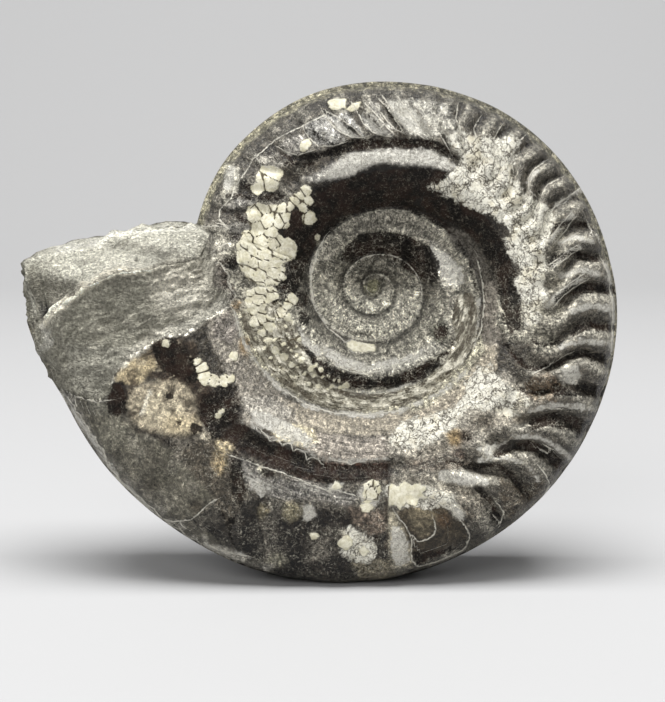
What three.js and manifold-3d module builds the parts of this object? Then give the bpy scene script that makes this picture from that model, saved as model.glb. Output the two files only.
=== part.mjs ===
// A fossil ammonite (Hildoceras): one coiled, ribbed shell turned to stone, with grey limestone filling the
// broken body chamber at the left. It is one piece, standing on a small ground flat at the foot of its rim.
//
// The shell is a plane spiral. Along the spiral angle theta (degrees, growing towards the mouth: 0 at the right,
// 90 at the bottom, 180 at the left, -90 at the top) it has an inner seam, an outer keel and a thickness, and
// its section has a sloping umbilical wall, a ridge, a spiral groove, a ribbed outer flank, a rounded shoulder
// and a low keel between two grooves. +X is right, +Z is up, and the decorated front flank faces -Y.
import * as THREE from "three";
import Module from "manifold-3d";

// ---- driving dimensions, in millimetres and degrees --------------------------------------------------
const UNIT = 0.1864; // one unit of the spiral's tables
const EYE_F = 1564; // the tables were measured from this far off, in the same units
const EYE_PITCH = 8; // and from this far above the coil's axis
const AXIS_U = 332.5, AXIS_V = 351; // where the measuring axis meets the coil's middle plane
const CENTRE_U = 374, CENTRE_V = 288; // the coil's centre
const ORIGIN_X = 2.26; // from the measuring axis to the frame's origin
const AXIS_Z = 42.7; // height of the measuring axis over the ground flat
const THETA_START = -1240, THETA_LAST = -160, THETA_END = 200;
const RIDGE_Q = 0.4, SHOULDER_Q = 0.885;
const RIB_HEIGHT = 1.1;
const BREAK_FROM = 120; // where the broken mouth starts to bend the rows

// ---- tables: spiral angle and value ------------------------------------------------------------------
const SEAM = [
  [-1240, 5], [-1150, 6.5], [-1060, 8], [-970, 10], [-880, 12.5], [-810, 15], [-720, 20.5], [-630, 27],
  [-540, 31], [-450, 35], [-405, 42], [-360, 50], [-315, 53], [-270, 54.5], [-225, 59], [-180, 65],
  [-140, 69], [-113.7, 72.5], [-86, 79], [-58.5, 87.5], [-44, 92], [-21.6, 98], [0, 105], [22.4, 110],
  [52.3, 116], [90, 120], [110.6, 125], [131.7, 133.5], [144.5, 137.6], [160.7, 142], [172, 145],
  [180, 150], [189.2, 160], [201, 173],
];
const KEEL = [
  [-160, 188.4], [-150.4, 192], [-140, 196], [-128.7, 198.5], [-111.4, 203], [-82.8, 207.6], [-66, 213],
  [-54.7, 218], [-34.5, 226], [-18.8, 232.4], [-7.3, 237], [0, 241.5], [27.4, 254.5], [49.3, 267],
  [74.3, 282], [94.7, 296], [114, 306], [128.6, 312], [145.9, 322], [160, 329], [165, 336], [170, 343],
  [176, 350], [184, 352], [201, 354],
];
const COVER = [[-1240, 0.68], [-220, 0.68], [-200, 0.7], [-190, 0.72], [-180, 0.76], [-170, 0.82], [-160, 0.87], [-150, 0.82], [-130, 0.72], [-110, 0.68], [201, 0.68]];
const HALF_WIDTH = [
  [-1240, 3.5], [-1060, 5], [-880, 8], [-720, 12], [-630, 15], [-540, 18.5], [-450, 22.5], [-360, 27.5],
  [-270, 33], [-180, 40], [-90, 48], [0, 57], [90, 68], [150, 74], [201, 74],
];
// the flank from its ridge to the shoulder: height fraction and share of the half width
const FLANK = [[0.4, 1], [0.46, 0.968], [0.52, 0.915], [0.58, 0.93], [0.66, 0.945], [0.76, 0.915], [0.84, 0.83], [0.885, 0.73]];
// the rim from the shoulder to the keel
const RIM = [[0.925, 0.58], [0.948, 0.4], [0.955, 0.19], [0.972, 0.11], [0.994, 0.055], [1.0, 0]];
// spiral angle of each rib's crest on the outer flank
const RIBS = [
  -166, -157, -148, -139, -130, -120, -109.7, -98.2, -90.7, -81.2, -73, -67, -61.3, -53.6, -46.5, -39.8,
  -34.6, -28.6, -20.9, -12.4, -4.6, 4.3, 13.2, 21, 29.2, 39, 49.4, 58, 66.5, 76.5, 87.5, 99, 110, 121, 132, 143, 154, 165,
];
const RIB_SWEEP = [[0, 2], [0.3, 5], [0.42, 8], [0.5, 8], [0.57, 7.5], [0.63, 5], [0.7, 2], [0.78, 0], [0.9, -0.5], [1, 0.5]];
const RIB_SHARE = [[0, 0], [0.48, 0.0], [0.6, 0.85], [0.7, 1], [0.86, 1], [0.93, 0.35], [0.97, 0], [1, 0]];
const RIB_FADE = [[-170, 0.5], [-120, 0.6], [-60, 0.6], [-30, 1], [50, 1], [75, 0.5], [100, 0.35], [140, 0.15], [155, 0]];
// where the broken mouth ends, by height fraction, on the front and on the back
const MOUTH_FRONT = [[0, 200], [0.08, 190], [0.3, 186], [0.5, 184], [0.8, 178], [0.93, 172], [0.96, 176], [1, 184.3]];
const MOUTH_BACK = [[0, 200], [0.2, 198], [0.5, 192], [0.75, 188.5], [1, 184.3]];

// ---- how fine the solid is ---------------------------------------------------------------------------
const Q_IN = [7, 4, 2]; // rows over a covered whorl's showing part, the outer one first
const Q_LAST = 4; // more rows from there to the shoulder, on the last whorl
const MOUTH_ROWS = 3;

function smooth(table, x) {
  const n = table.length;
  if (x <= table[0][0]) return table[0][1];
  if (x >= table[n - 1][0]) return table[n - 1][1];
  let i = 0;
  while (x > table[i + 1][0]) i++;
  const slope = (k) => (table[k + 1][1] - table[k][1]) / (table[k + 1][0] - table[k][0]);
  const tangent = (k) => {
    if (k === 0) return slope(0);
    if (k === n - 1) return slope(n - 2);
    const a = slope(k - 1), b = slope(k);
    return a * b <= 0 ? 0 : (2 * a * b) / (a + b);
  };
  const h = table[i + 1][0] - table[i][0], s = (x - table[i][0]) / h;
  const s2 = s * s, s3 = s2 * s;
  return (
    (2 * s3 - 3 * s2 + 1) * table[i][1] + (s3 - 2 * s2 + s) * h * tangent(i) +
    (3 * s2 - 2 * s3) * table[i + 1][1] + (s3 - s2) * h * tangent(i + 1)
  );
}

const rad = (d) => (d * Math.PI) / 180;
const seamR = (t) => smooth(SEAM, t);
const cover = (t) => smooth(COVER, t);
const keelR = (t) =>
  t >= THETA_LAST ? smooth(KEEL, t) : seamR(t) + (seamR(t + 360) - seamR(t)) / cover(t);
const halfWidth = (t) => smooth(HALF_WIDTH, t);

// half the thickness at a height fraction up to the shoulder, in table units
function flankY(t, q) {
  const b = halfWidth(t);
  if (q >= RIDGE_Q) return b * smooth(FLANK, q);
  const y0 = t - 360 >= THETA_START ? halfWidth(t - 360) * smooth(FLANK, cover(t - 360)) : b * 0.45;
  return y0 + (b - y0) * (1 - Math.pow(1 - q / RIDGE_Q, 1.9));
}

// the ribs' relief in table units
function ribRelief(t, q) {
  if (t < -175) return 0;
  const at = t - smooth(RIB_SWEEP, q);
  let i = 0;
  while (i < RIBS.length - 2 && at > RIBS[i + 1]) i++;
  const phase = (at - RIBS[i]) / (RIBS[i + 1] - RIBS[i]);
  const wave = 0.5 + 0.5 * Math.cos(2 * Math.PI * phase);
  return (RIB_HEIGHT / UNIT) * (Math.pow(wave, 0.8) - 0.5) * smooth(RIB_SHARE, q) * smooth(RIB_FADE, t);
}

// a point of the coil from spiral angle, radius and depth, all in table units, as it lies in the frame
const cosP = Math.cos(rad(EYE_PITCH)), sinP = Math.sin(rad(EYE_PITCH));
function place(t, r, y, lean = 1) {
  const u = CENTRE_U + r * Math.cos(rad(t)) - AXIS_U;
  const v = AXIS_V - (CENTRE_V + r * Math.sin(rad(t)));
  // the line of sight through (u, v), met with the plane at that depth
  const dy = cosP * EYE_F + sinP * v, dz = -sinP * EYE_F + cosP * v;
  const ey = -EYE_F * cosP, ez = EYE_F * sinP;
  const k = (Math.min(y, 0) * lean - ey) / dy; // the back and the rim follow the middle plane
  return [u * k * UNIT + ORIGIN_X, y * UNIT, (ez + dz * k) * UNIT + AXIS_Z];
}

// ---- columns: one at each rib's crest and each gap, and the same angles on every whorl ----------------
const columns = [THETA_LAST];
for (let i = 0; i < RIBS.length; i++) {
  for (const c of [RIBS[i], i + 1 < RIBS.length ? (RIBS[i] + RIBS[i + 1]) / 2 : null])
    if (c !== null && c > columns[columns.length - 1] + 1.5 && c < THETA_END - 3) columns.push(c);
}
for (let c = columns[columns.length - 1] + 5; c < THETA_END - 3; c += 5) columns.push(c);
columns.push(THETA_END);
const N = columns.length - 1;

const points = [], faces = [];
const put = (p) => points.push(p) - 1;
const tri = (a, b, c) => {
  if (a !== b && b !== c && a !== c) faces.push([a, c, b]);
};

// the front flank leans with the line of sight, the rim and the foot don't
const leanAt = (q) => {
  const s = Math.min(1, Math.max(0, (q - 0.78) / 0.145));
  return 1 - s * s * (3 - 2 * s);
};

// side -1 is the front, 1 is the back; quads turn so that faces point out
function flankPoint(t, q, side) {
  const y = flankY(t, q) + ribRelief(t, q);
  const r = seamR(t) + (keelR(t) - seamR(t)) * q;
  return place(t, r, side * y, leanAt(q));
}
function bent(i, q, side) {
  const t = columns[i];
  if (t <= BREAK_FROM) return t;
  const end = smooth(side < 0 ? MOUTH_FRONT : MOUTH_BACK, q);
  return BREAK_FROM + ((t - BREAK_FROM) * (end - BREAK_FROM)) / (THETA_END - BREAK_FROM);
}

// the last whorl, whole: front seam, front flank, rim, keel, and back again
const lastRows = Q_IN[0] + Q_LAST;
const J = 2 * (lastRows + RIM.length);
const last = [];
for (let i = 0; i <= N; i++) {
  const row = [];
  for (let j = 0; j <= J; j++) {
    const side = j <= J / 2 ? -1 : 1, jj = side < 0 ? j : J - j;
    const split = cover(columns[i]);
    if (jj <= lastRows) {
      const q = jj <= Q_IN[0] ? (split * jj) / Q_IN[0] : split + ((SHOULDER_Q - split) * (jj - Q_IN[0])) / Q_LAST;
      const t = jj === 0 ? columns[i] : bent(i, q, side);
      row.push(put(flankPoint(t, q, side)));
    } else {
      const [q, g] = RIM[jj - lastRows - 1];
      const t = bent(i, q, side);
      const y = halfWidth(t) * g;
      const rib = g > 0.4 ? ribRelief(t, q) * 0.6 : 0;
      row.push(put(place(t, seamR(t) + (keelR(t) - seamR(t)) * q + rib, side * y, leanAt(q))));
    }
  }
  last.push(row);
}
for (let i = 0; i < N; i++)
  for (let j = 0; j < J; j++) {
    const a = last[i][j], b = last[i][j + 1], c = last[i + 1][j + 1], d = last[i + 1][j];
    tri(a, b, c);
    tri(a, c, d);
  }

// the broken mouth: ruled from the end section to the rim of the whorl inside it
const inner = (j) => {
  const lo = Q_IN[0], hi = J - Q_IN[0];
  return last[0][lo + Math.round(((hi - lo) * j) / J)];
};
let from = last[N].slice();
for (const j of [0, J]) from[j] = inner(j);
let previous = from;
for (let m = 1; m <= MOUTH_ROWS; m++) {
  const row = [];
  for (let j = 0; j <= J; j++) {
    if (m === MOUTH_ROWS || j === 0 || j === J) row.push(inner(j));
    else {
      const a = points[from[j]], b = points[inner(j)], s = m / MOUTH_ROWS;
      row.push(put(a.map((x, k) => x + (b[k] - x) * s)));
    }
  }
  for (let j = 0; j < J; j++) {
    tri(previous[j], previous[j + 1], row[j + 1]);
    tri(previous[j], row[j + 1], row[j]);
  }
  previous = row;
}

// the whorls inside, front and back, each from its own seam out to where the next whorl covers it
const alias = new Map();
for (const side of [-1, 1]) {
  // where the whorl outside meets this one: column i of its seam
  let outerSeam = last.map((row) => (side < 0 ? row[0] : row[J]));
  let firstColumn = last[0].map((_, k) => (side < 0 ? last[0][k] : last[0][J - k])).slice(0, Q_IN[0] + 1);
  for (let w = 0; w < Q_IN.length; w++) {
    const rows = Q_IN[w], grid = [];
    for (let i = 0; i <= N; i++) {
      const t = columns[i] - 360 * (w + 1), row = [];
      for (let j = 0; j <= rows; j++) {
        if (j === rows) row.push(outerSeam[i]);
        else if (i === N && w === 0) row.push(firstColumn[j]);
        else if (i === N) row.push(firstColumn[Math.round((j * (firstColumn.length - 1)) / rows)]);
        else row.push(put(flankPoint(t, (cover(t) * j) / rows, side)));
      }
      grid.push(row);
    }
    for (let i = 0; i < N; i++)
      for (let j = 0; j < rows; j++) {
        const a = grid[i][j], b = grid[i][j + 1], c = grid[i + 1][j + 1], d = grid[i + 1][j];
        if (side < 0) { tri(a, b, c); tri(a, c, d); } else { tri(a, c, b); tri(a, d, c); }
      }
    // the whorl outside starts on all of this one's last column: fill where the rows differ
    if (w > 0) {
      const fine = firstColumn, coarse = grid[N];
      for (let j = 0; j < rows; j++) {
        const lo = Math.round((j * (fine.length - 1)) / rows), hi = Math.round(((j + 1) * (fine.length - 1)) / rows);
        for (let k = lo; k < hi - 1; k++) {
          const a = fine[k], b = fine[k + 1], c = fine[hi];
          if (side < 0) tri(b, a, c); else tri(a, b, c);
        }
      }
    }
    outerSeam = grid.map((row) => row[0]);
    firstColumn = grid[0];
  }
  // the tiny first chamber closes the middle
  const centre = put(place(THETA_START, 0, side * halfWidth(THETA_START) * 0.9));
  const loop = [...outerSeam, ...firstColumn.slice(0, -1).reverse()];
  for (let k = 0; k < loop.length; k++) {
    const a = loop[k], b = loop[(k + 1) % loop.length];
    if (side < 0) tri(a, b, centre); else tri(b, a, centre);
  }
}

// the seam of the last column is the place where the first column's cover ends
alias.set(last[N][0], inner(0));
alias.set(last[N][J], inner(J));
const resolved = faces
  .map((f) => f.map((v) => alias.get(v) ?? v))
  .filter(([a, b, c]) => a !== b && b !== c && a !== c);

const wasm = await Module();
wasm.setup();
const { Manifold, Mesh } = wasm;

function solidOf(pts, tris) {
  const used = new Map(), verts = [];
  const index = (v) => {
    if (!used.has(v)) { used.set(v, verts.length / 3); verts.push(...pts[v]); }
    return used.get(v);
  };
  const triVerts = new Uint32Array(tris.flat().map(index));
  return new Manifold(new Mesh({ numProp: 3, vertProperties: new Float32Array(verts), triVerts }));
}

let fossil = solidOf(points, resolved);

// the foot is ground flat at Z = 0
const slab = new THREE.BoxGeometry(300, 300, 40).toNonIndexed();
slab.translate(0, 0, -20);
{
  const p = slab.getAttribute("position"), keys = new Map(), pts = [], tris = [];
  for (let i = 0; i < p.count; i += 3) {
    const f = [];
    for (let k = 0; k < 3; k++) {
      const q = [p.getX(i + k), p.getY(i + k), p.getZ(i + k)], key = q.join();
      if (!keys.has(key)) keys.set(key, pts.push(q) - 1);
      f.push(keys.get(key));
    }
    tris.push(f);
  }
  fossil = fossil.subtract(solidOf(pts, tris));
}

const out = fossil.getMesh();
const position = new Float32Array(out.numVert * 3);
for (let i = 0; i < out.numVert; i++)
  position.set(out.vertProperties.subarray(i * out.numProp, i * out.numProp + 3), i * 3);
const geometry = new THREE.BufferGeometry()
  .setAttribute("position", new THREE.BufferAttribute(position, 3))
  .setIndex(new THREE.BufferAttribute(new Uint32Array(out.triVerts), 1));
geometry.computeVertexNormals();

const ammonite = new THREE.Group();
const mesh = new THREE.Mesh(
  geometry,
  new THREE.MeshStandardMaterial({ color: 0x4a4741, roughness: 0.35, metalness: 0.0 }),
);
mesh.name = "ammonite_fossil";
ammonite.add(mesh);

export default ammonite;
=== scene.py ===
# The looks of a fossil ammonite standing on a small ground flat: its fine surface, shell patches, cracks,
# ribs and limestone. Lengths of the tables are in units of 0.1864 mm, angles in degrees.
import math

import bpy
import numpy as np
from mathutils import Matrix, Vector


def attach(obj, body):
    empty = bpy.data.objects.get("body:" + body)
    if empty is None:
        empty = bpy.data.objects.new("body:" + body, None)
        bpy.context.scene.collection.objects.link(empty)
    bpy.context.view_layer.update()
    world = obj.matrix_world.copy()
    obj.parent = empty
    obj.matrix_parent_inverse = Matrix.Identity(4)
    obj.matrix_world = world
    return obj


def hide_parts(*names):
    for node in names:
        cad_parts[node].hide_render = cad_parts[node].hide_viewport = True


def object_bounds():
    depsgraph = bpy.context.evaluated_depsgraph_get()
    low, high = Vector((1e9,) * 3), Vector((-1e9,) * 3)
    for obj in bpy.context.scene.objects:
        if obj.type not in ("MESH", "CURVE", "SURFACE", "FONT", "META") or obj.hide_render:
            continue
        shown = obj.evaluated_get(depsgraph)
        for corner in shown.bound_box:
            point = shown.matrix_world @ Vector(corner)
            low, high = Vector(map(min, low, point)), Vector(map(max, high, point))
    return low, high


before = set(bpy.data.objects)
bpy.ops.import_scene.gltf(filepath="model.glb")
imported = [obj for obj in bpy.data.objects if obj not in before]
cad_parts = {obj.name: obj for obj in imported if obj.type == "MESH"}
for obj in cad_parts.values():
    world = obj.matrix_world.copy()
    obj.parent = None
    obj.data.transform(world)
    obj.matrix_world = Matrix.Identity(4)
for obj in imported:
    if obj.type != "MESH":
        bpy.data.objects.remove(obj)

CAD_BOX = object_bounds()

# ---- the spiral's tables, as in the solid -------------------------------------------------------------
UNIT = 0.1864
EYE_F = 1564.0
PITCH = math.radians(8.0)
AXIS_U, AXIS_V = 332.5, 351.0
CENTRE_U, CENTRE_V = 374.0, 288.0
ORIGIN_X, AXIS_Z = 2.26, 42.7
THETA_START, THETA_LAST, THETA_END = -1240.0, -160.0, 200.0
RIDGE_Q, SHOULDER_Q = 0.4, 0.885
BREAK_FROM = 120.0
COS, SIN = math.cos(PITCH), math.sin(PITCH)


class Curve:
    """A smooth curve through a table's points, with no overshoot."""

    def __init__(self, rows):
        a = np.array(rows, float)
        self.x, self.y = a[:, 0], a[:, 1]
        d = np.diff(self.y) / np.diff(self.x)
        m = np.empty(len(a))
        m[0], m[-1] = d[0], d[-1]
        p = d[:-1] * d[1:]
        s = d[:-1] + d[1:]
        m[1:-1] = np.where(p > 0, 2 * p / np.where(s == 0, 1, s), 0)
        self.m = m

    def __call__(self, x):
        x = np.clip(np.asarray(x, float), self.x[0], self.x[-1])
        i = np.clip(np.searchsorted(self.x, x, side="right") - 1, 0, len(self.x) - 2)
        h = self.x[i + 1] - self.x[i]
        s = (x - self.x[i]) / h
        s2 = s * s
        s3 = s2 * s
        return (
            (2 * s3 - 3 * s2 + 1) * self.y[i] + (s3 - 2 * s2 + s) * h * self.m[i]
            + (3 * s2 - 2 * s3) * self.y[i + 1] + (s3 - s2) * h * self.m[i + 1]
        )


seam_r = Curve([
    [-1240, 5], [-1150, 6.5], [-1060, 8], [-970, 10], [-880, 12.5], [-810, 15], [-720, 20.5], [-630, 27],
    [-540, 31], [-450, 35], [-405, 42], [-360, 50], [-315, 53], [-270, 54.5], [-225, 59], [-180, 65],
    [-140, 69], [-113.7, 72.5], [-86, 79], [-58.5, 87.5], [-44, 92], [-21.6, 98], [0, 105], [22.4, 110],
    [52.3, 116], [90, 120], [110.6, 125], [131.7, 133.5], [144.5, 137.6], [160.7, 142], [172, 145],
    [180, 150], [189.2, 160], [201, 173]])
keel_last = Curve([
    [-160, 188.4], [-150.4, 192], [-140, 196], [-128.7, 198.5], [-111.4, 203], [-82.8, 207.6], [-66, 213],
    [-54.7, 218], [-34.5, 226], [-18.8, 232.4], [-7.3, 237], [0, 241.5], [27.4, 254.5], [49.3, 267],
    [74.3, 282], [94.7, 296], [114, 306], [128.6, 312], [145.9, 322], [160, 329], [165, 336], [170, 343],
    [176, 350], [184, 352], [201, 354]])
cover = Curve([[-1240, 0.68], [-220, 0.68], [-200, 0.7], [-190, 0.72], [-180, 0.76], [-170, 0.82],
               [-160, 0.87], [-150, 0.82], [-130, 0.72], [-110, 0.68], [201, 0.68]])
half_width = Curve([
    [-1240, 3.5], [-1060, 5], [-880, 8], [-720, 12], [-630, 15], [-540, 18.5], [-450, 22.5], [-360, 27.5],
    [-270, 33], [-180, 40], [-90, 48], [0, 57], [90, 68], [150, 74], [201, 74]])
flank = Curve([[0.4, 1], [0.46, 0.988], [0.52, 0.975], [0.58, 0.962], [0.66, 0.945], [0.76, 0.915],
               [0.84, 0.84], [0.885, 0.745]])
groove_q = Curve([[-600, 0.5], [-160, 0.5], [-90, 0.51], [0, 0.47], [40, 0.43], [70, 0.37], [100, 0.34],
                  [135, 0.37], [160, 0.42], [200, 0.46]])
groove_d = Curve([[-600, 0.05], [-160, 0.06], [-90, 0.085], [-30, 0.05], [20, 0.05], [60, 0.07],
                  [90, 0.08], [130, 0.07], [165, 0.03], [200, 0.0]])
RIM = [[0.885, 0.745], [0.91, 0.65], [0.935, 0.53], [0.951, 0.4], [0.958, 0.3], [0.957, 0.2],
       [0.968, 0.125], [0.985, 0.08], [0.996, 0.045], [1.0, 0.0]]
rim_q = Curve([[i, a] for i, (a, b) in enumerate(RIM)])
rim_g = Curve([[i, b] for i, (a, b) in enumerate(RIM)])
RIBS = np.array([
    -166, -157, -148, -139, -130, -120, -109.7, -98.2, -90.7, -81.2, -73, -67, -61.3, -53.6, -46.5, -39.8,
    -34.6, -28.6, -20.9, -12.4, -4.6, 4.3, 13.2, 21, 29.2, 39, 49.4, 58, 66.5, 76.5, 87.5, 99, 110, 121,
    132, 143, 154, 165], float)
rib_sweep = Curve([[0, 2], [0.3, 5], [0.42, 8], [0.5, 8], [0.57, 7.5], [0.63, 5], [0.7, 2], [0.78, 0],
                   [0.9, -0.5], [1, 0.5]])
rib_share = Curve([[0, 0], [0.38, 0.0], [0.5, 0.7], [0.6, 0.95], [0.66, 1], [0.86, 1], [0.93, 0.6], [0.97, 0.1], [1, 0]])
rib_fade = Curve([[-170, 0.4], [-120, 0.4], [-100, 0.6], [-60, 0.6], [-45, 0.75], [-25, 1.1], [50, 1.15], [75, 0.6],
                  [100, 0.35], [140, 0.15], [155, 0]])
rib_fade_back = Curve([[-170, 0.8], [-60, 1.0], [60, 1.1], [120, 0.8], [150, 0.3], [170, 0]])
mouth_front = Curve([[0, 200], [0.08, 190], [0.3, 186], [0.5, 184], [0.8, 178], [0.93, 172], [0.96, 176],
                     [1, 184.3]])
mouth_back = Curve([[0, 200], [0.2, 198], [0.5, 192], [0.75, 188.5], [1, 184.3]])


def keel_r(t):
    t = np.asarray(t, float)
    lo = np.minimum(t, THETA_LAST)
    inside = seam_r(lo) + (seam_r(lo + 360) - seam_r(lo)) / cover(lo)
    return np.where(t >= THETA_LAST, keel_last(t), inside)


def flank_y(t, q):
    b = half_width(t)
    prev = np.where(t - 360 >= THETA_START, half_width(t - 360) * flank(cover(t - 360)), b * 0.45)
    rise = 1 - np.power(np.clip(1 - q / RIDGE_Q, 0, 1), 1.9)
    y = np.where(q >= RIDGE_Q, b * flank(q), prev + (b - prev) * rise)
    g = (q - groove_q(t)) / 0.055
    return y - b * groove_d(t) * np.exp(-g * g)


def rib_phase(t, q):
    at = t - rib_sweep(q)
    i = np.clip(np.searchsorted(RIBS, at, side="right") - 1, 0, len(RIBS) - 2)
    return (at - RIBS[i]) / (RIBS[i + 1] - RIBS[i])


def rib_relief(t, q, side):
    phase = rib_phase(t, q)
    g = (phase - 0.5) / 0.2
    wave = 1 - np.exp(-g * g) + 0.16 * np.cos(2 * np.pi * (phase - 0.93))
    fade = np.where(side < 0, rib_fade(t), rib_fade_back(t))
    return np.where(t < -175, 0, 5.6 * (wave - 0.66) * rib_share(q) * fade)


def bulge(t, q):
    """The roundness of the whorls inside, between one seam and the next."""
    w = np.clip(q / cover(t), 0, 1)
    return np.where(t < THETA_LAST, 0.085 * half_width(t) * np.sin(np.pi * np.power(w, 0.8)), 0)


def place(t, r, y, lean):
    a = np.radians(t)
    u = CENTRE_U + r * np.cos(a) - AXIS_U
    v = AXIS_V - (CENTRE_V + r * np.sin(a))
    dy = COS * EYE_F + SIN * v
    dz = -SIN * EYE_F + COS * v
    k = (np.minimum(y, 0) * lean + EYE_F * COS) / dy
    return np.stack([u * k * UNIT + ORIGIN_X, y * UNIT, (EYE_F * SIN + dz * k) * UNIT + AXIS_Z], -1)


def lean_at(q):
    s = np.clip((q - 0.78) / 0.145, 0, 1)
    return 1 - s * s * (3 - 2 * s)


def seen_at(p):
    """Where points in millimetres lie in the tables' plane: right and down, in the tables' units."""
    x = (p[:, 0] - ORIGIN_X) / UNIT
    y = p[:, 1] / UNIT + EYE_F * COS
    z = (p[:, 2] - AXIS_Z) / UNIT - EYE_F * SIN
    depth = y * COS - z * SIN
    return AXIS_U + EYE_F * x / depth, AXIS_V - EYE_F * (y * SIN + z * COS) / depth


# ---- noise ------------------------------------------------------------------------------------------
def lattice(ix, iy, iz, seed):
    h = (ix * 374761393 + iy * 668265263 + iz * 2147483647 + seed * 1274126177) & 0xFFFFFFFF
    h = ((h ^ (h >> 13)) * 1274126177) & 0xFFFFFFFF
    h = (h ^ (h >> 16)) & 0xFFFFFFFF
    return h.astype(np.float64) / 4294967295.0


def noise(x, y, z, seed=0):
    """Smooth value noise, -1 to 1."""
    fx, fy, fz = np.floor(x), np.floor(y), np.floor(z)
    ix, iy, iz = fx.astype(np.int64), fy.astype(np.int64), fz.astype(np.int64)
    x, y, z = x - fx, y - fy, z - fz
    x, y, z = (w * w * w * (w * (w * 6 - 15) + 10) for w in (x, y, z))
    out = 0
    for dx in (0, 1):
        wx = x if dx else 1 - x
        for dy in (0, 1):
            wy = y if dy else 1 - y
            for dz in (0, 1):
                wz = z if dz else 1 - z
                out = out + wx * wy * wz * lattice(ix + dx, iy + dy, iz + dz, seed)
    return out * 2 - 1


def fbm(x, y, z, octaves=4, seed=0, gain=0.5):
    out, amp, tot = 0, 1.0, 0.0
    for k in range(octaves):
        out = out + amp * noise(x, y, z, seed + 17 * k)
        tot += amp
        amp *= gain
        x, y, z = x * 2.03 + 1.7, y * 2.03 + 9.2, z * 2.03 + 4.1
    return out / tot


def step(lo, hi, x):
    s = np.clip((x - lo) / (hi - lo), 0, 1)
    return s * s * (3 - 2 * s)


# ---- the surface's mesh -------------------------------------------------------------------------------
N0 = 736
N_COVER, N_LAST, N_RIM = 42, 17, 12
BACK_COVER, BACK_LAST, BACK_RIM = 24, 8, 6
INNER_FRONT, INNER_BACK = [28, 13, 7], [14, 7, 4]
MOUTH_ROWS = 56

T, Q, Y, KIND = [], [], [], []
count = 0


def new(t, q, y, kind):
    """Adds vertices and returns their numbers: y is the side for a flank, the half width's share for a rim."""
    global count
    t, q, y = np.broadcast_arrays(np.asarray(t, float), np.asarray(q, float), np.asarray(y, float))
    T.append(t.ravel()), Q.append(q.ravel()), Y.append(y.ravel()), KIND.append(np.full(t.size, kind))
    out = np.arange(count, count + t.size).reshape(t.shape)
    count += t.size
    return out


FACES = []


def sheet(g, flip=False):
    """Two triangles in each cell of a grid of vertex numbers."""
    a, b, c, d = g[:-1, :-1], g[:-1, 1:], g[1:, 1:], g[1:, :-1]
    for f in ((a, c, b), (a, d, c)):
        tri = np.stack([w.ravel() for w in (f if not flip else f[::-1])], -1)
        FACES.append(tri)


def halve(fine, coarse, flip=False):
    """A strip from a line of 2n+1 vertices to one of n+1."""
    a, b, c = fine[:-2:2], fine[1::2], fine[2::2]
    d, e = coarse[:-1], coarse[1:]
    for f in ((a, b, d), (b, c, e), (b, e, d)):
        FACES.append(np.stack(f if not flip else f[::-1], -1))


# columns: closer together where the whorl is wide
w_of = np.linspace(0, 1, 2000)
th = THETA_LAST + 360 * w_of
dens = np.power(keel_last(th), 0.75)
cum = np.concatenate([[0], np.cumsum((dens[1:] + dens[:-1]) / 2)])
COL = np.interp(np.linspace(0, cum[-1], N0 + 1), cum, th)
COL[0], COL[-1] = THETA_LAST, THETA_END


def bend(t, q, side):
    end = mouth_front(q) if side < 0 else mouth_back(q)
    return np.where(t <= BREAK_FROM, t, BREAK_FROM + (t - BREAK_FROM) * (end - BREAK_FROM) / (THETA_END - BREAK_FROM))


def whole_side(cols, n_cover, n_last, n_rim, side, keel=None):
    """The last whorl's flank and rim on one side, column by row from the seam out to the keel."""
    t = cols[:, None]
    cov = cover(cols)[:, None]
    j1 = np.arange(n_cover + 1)[None, :]
    q1 = cov * np.power(j1 / n_cover, 0.92)
    j2 = np.arange(1, n_last + 1)[None, :]
    q2 = cov + (SHOULDER_Q - cov) * j2 / n_last
    q = np.concatenate([q1, q2], 1)
    tt = bend(np.broadcast_to(t, q.shape), q, side)
    tt[:, 0] = cols
    flank_ids = new(tt, q, float(side), 0)
    s = np.arange(1, n_rim + 1) / n_rim * (len(RIM) - 1)
    qr = np.broadcast_to(rim_q(s)[None, :], (len(cols), n_rim))
    gr = np.broadcast_to(rim_g(s)[None, :], (len(cols), n_rim))
    tr = bend(np.broadcast_to(t, qr.shape), qr, side)
    if keel is None:
        rim_ids = new(tr, qr, gr * side, 1)
    else:
        rim_ids = new(tr[:, :-1], qr[:, :-1], gr[:, :-1] * side, 1)
        rim_ids = np.concatenate([rim_ids, keel[:, None]], 1)
    return np.concatenate([flank_ids, rim_ids], 1)


front = whole_side(COL, N_COVER, N_LAST, N_RIM, -1)
COLB = COL[::2]
back = whole_side(COLB, BACK_COVER, BACK_LAST, BACK_RIM, 1, keel=front[::2, -1])
sheet(front)
sheet(back[:, :-1], flip=True)
halve(front[:, -1], back[:, -2])

# the broken mouth's rows run from the end section to the rim of the whorl inside
end_f, end_b = front[-1].copy(), back[-1].copy()
in_f = front[0, N_COVER:]
in_b = back[0, BACK_COVER:]
alias = {int(end_f[0]): int(in_f[0]), int(end_b[0]): int(in_b[0])}


def spread(line, n):
    return line[np.rint(np.linspace(0, len(line) - 1, n)).astype(int)]


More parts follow.
